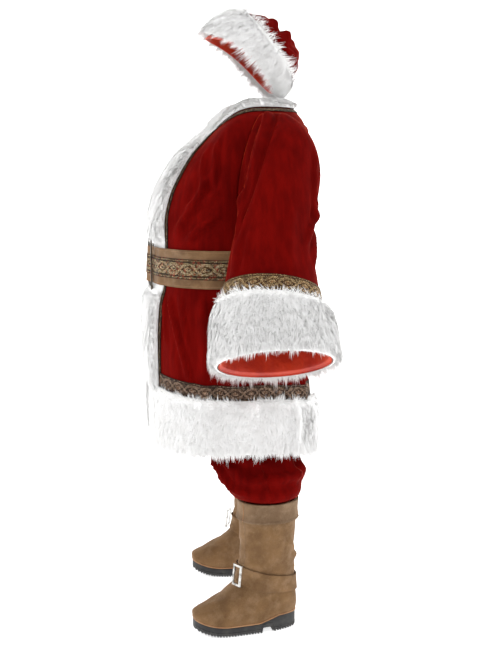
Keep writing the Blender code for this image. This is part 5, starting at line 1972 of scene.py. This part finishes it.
        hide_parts("boot_sole_" + self.side.word)

    def cord_along(self, name: str, path: Array, radius: float, closed: bool, finish: LeatherFinish) -> None:
        """A thin welt or seam thread laid along a path.

        Args:
            name: The piece's name.
            path: Its points.
            radius: Its radius.
            closed: Whether it joins its own start.
            finish: Its finish.
        """
        ahead = unit(np.roll(path, -1, 0) - np.roll(path, 1, 0) if closed else np.gradient(path, axis=0))
        side = unit(np.cross(ahead, [0.31, 0.17, 1.0]))
        up = np.cross(side, ahead)
        turns = round_turns(6)[None, :, None]
        rings = path[:, None] + radius * (side[:, None] * np.cos(turns) + up[:, None] * np.sin(turns))
        if closed:
            rings = np.concatenate([rings, rings[:1]])
        grid = self.worn(Grid(rings, closed=True))
        piece = new_piece(name, grid.points, grid.quads(), finish.material(name + "_leather"))

    def build_seams(self) -> None:
        """The tan welt round the foot and the raised seams up the shaft and round the cuff."""
        word, welt = self.side.word, self.finishes.welt
        turns = round_turns(160)
        path = self.cloth.points(turns, np.full_like(turns, self.bottom + 0.002), LEATHER + 0.0006)
        self.cord_along("boot_welt_" + word, path, 0.0019, True, welt)
        heights = np.linspace(self.ankle + 0.02, self.cuff_bottom - 0.002, 40)
        for index, turn in enumerate((-1.15, 1.35)):
            path = self.cloth.points(np.full_like(heights, turn), heights, LEATHER + 0.0002)
            self.cord_along(f"boot_seam_{word}_{index}", path, 0.0009, False, self.finishes.grey_suede)
        heights = np.linspace(self.cuff_bottom + 0.001, self.top - 0.001, 20)
        flare = 2 * LEATHER + LAYER + 0.006 * eased((0.42 - heights) / 0.05)
        path = self.cloth.points(np.full_like(heights, -1.15), heights, flare + 0.0002)
        self.cord_along("boot_cuff_seam_" + word, path, 0.0009, False, welt)
        level = np.full_like(turns, self.cuff_bottom + 0.006)
        path = self.cloth.points(turns, level, 2 * LEATHER + LAYER + 0.0062)
        self.cord_along("boot_cuff_edge_" + word, path, 0.0006, True, self.finishes.grey_suede)


# ---------------------------------------------------------------- studio


@dataclass
class Studio:
    """The camera, the white floor and screen, and soft lights."""

    azimuth: float = math.radians(80)
    pitch: float = math.radians(9)
    distance: float = 3.0
    height: float = 1.40
    focal_share: float = 1.520737327
    sensor: float = 36.0
    sky: float = 0.48
    lights: tuple[tuple[str, tuple[float, float, float], float, float], ...] = (
        ("key", (3.2, -1.9, 2.1), 0.9, 34.0),
        ("rim", (0.7, 3.2, 0.8), 0.9, 50.0),
        ("front", (0.2, -3.2, 0.6), 1.0, 30.0),
        ("top", (0.3, 0.2, 3.2), 1.2, 46.0),
    )

    def build(self) -> None:
        """Makes the camera, the floor, the sky and the lights."""
        scene = bpy.context.scene
        camera = bpy.data.cameras.new("camera")
        camera.sensor_width = self.sensor
        camera.lens = self.focal_share * self.sensor
        camera.clip_end = 100.0
        eye = bpy.data.objects.new("camera", camera)
        scene.collection.objects.link(eye)
        flat = Vector((math.sin(self.azimuth), -math.cos(self.azimuth), 0.0))
        eye.location = flat * self.distance + Vector((0, 0, self.height - SHOULDER_HEIGHT))
        ahead = -flat * math.cos(self.pitch) - Vector((0, 0, math.sin(self.pitch)))
        eye.rotation_euler = ahead.to_track_quat("-Z", "Y").to_euler()
        scene.camera = eye
        self.build_floor()
        world = bpy.data.worlds.new("studio")
        world.use_nodes = True
        sky = world.node_tree.nodes["Background"]
        sky.inputs["Color"].default_value = (1.0, 1.0, 1.0, 1.0)
        sky.inputs["Strength"].default_value = self.sky
        scene.world = world
        for name, place, size, power_watts in self.lights:
            light = bpy.data.lights.new(name, "AREA")
            light.shape = "DISK"
            light.size = size
            light.energy = power_watts
            lamp = bpy.data.objects.new(name, light)
            scene.collection.objects.link(lamp)
            lamp.location = place
            aim = Vector((0, 0, -0.5)) - Vector(place)
            lamp.rotation_euler = aim.to_track_quat("-Z", "Y").to_euler()
        scene.view_settings.view_transform = "Standard"

    def build_floor(self) -> None:
        """A wide lit white floor under the soles and a lit white screen far behind."""
        reach, high = 14.0, 9.0
        floor = [(-reach, -reach, 0), (reach, -reach, 0), (reach, reach, 0), (-reach, reach, 0)]
        screen = [(-6.0, reach, -0.5), (-6.0, -reach, -0.5), (-6.0, -reach, high), (-6.0, reach, high)]
        for name, corners, glow in (("floor", floor, 0.75), ("screen", screen, 1.0)):
            mesh = bpy.data.meshes.new(name)
            mesh.from_pydata(corners, [], [(0, 1, 2, 3)])
            mesh.materials.append(LitFinish(glow).material(f"white_{name}"))
            piece = bpy.data.objects.new(name, mesh)
            piece.location.z = SOLE_BOTTOM - SHOULDER_HEIGHT - 0.0005
            bpy.context.scene.collection.objects.link(piece)


def main() -> None:
    """Builds the looks in order."""
    logging.basicConfig(level=logging.INFO, format="%(message)s")
    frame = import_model()
    Studio().build()
    finishes = make_finishes()
    jacket = Jacket(finishes)
    jacket.build()
    for side in Side:
        Sleeve(finishes, jacket, side).build()
        TrouserLeg(finishes, side).build()
        Boot(finishes, side, frame["nodes"]).build()
    Waistband(finishes).build()
    Hat(finishes).build()
    Belt(finishes, jacket, frame["nodes"]).build()
    bpy.context.view_layer.update()


if __name__ == "__main__":
    main()
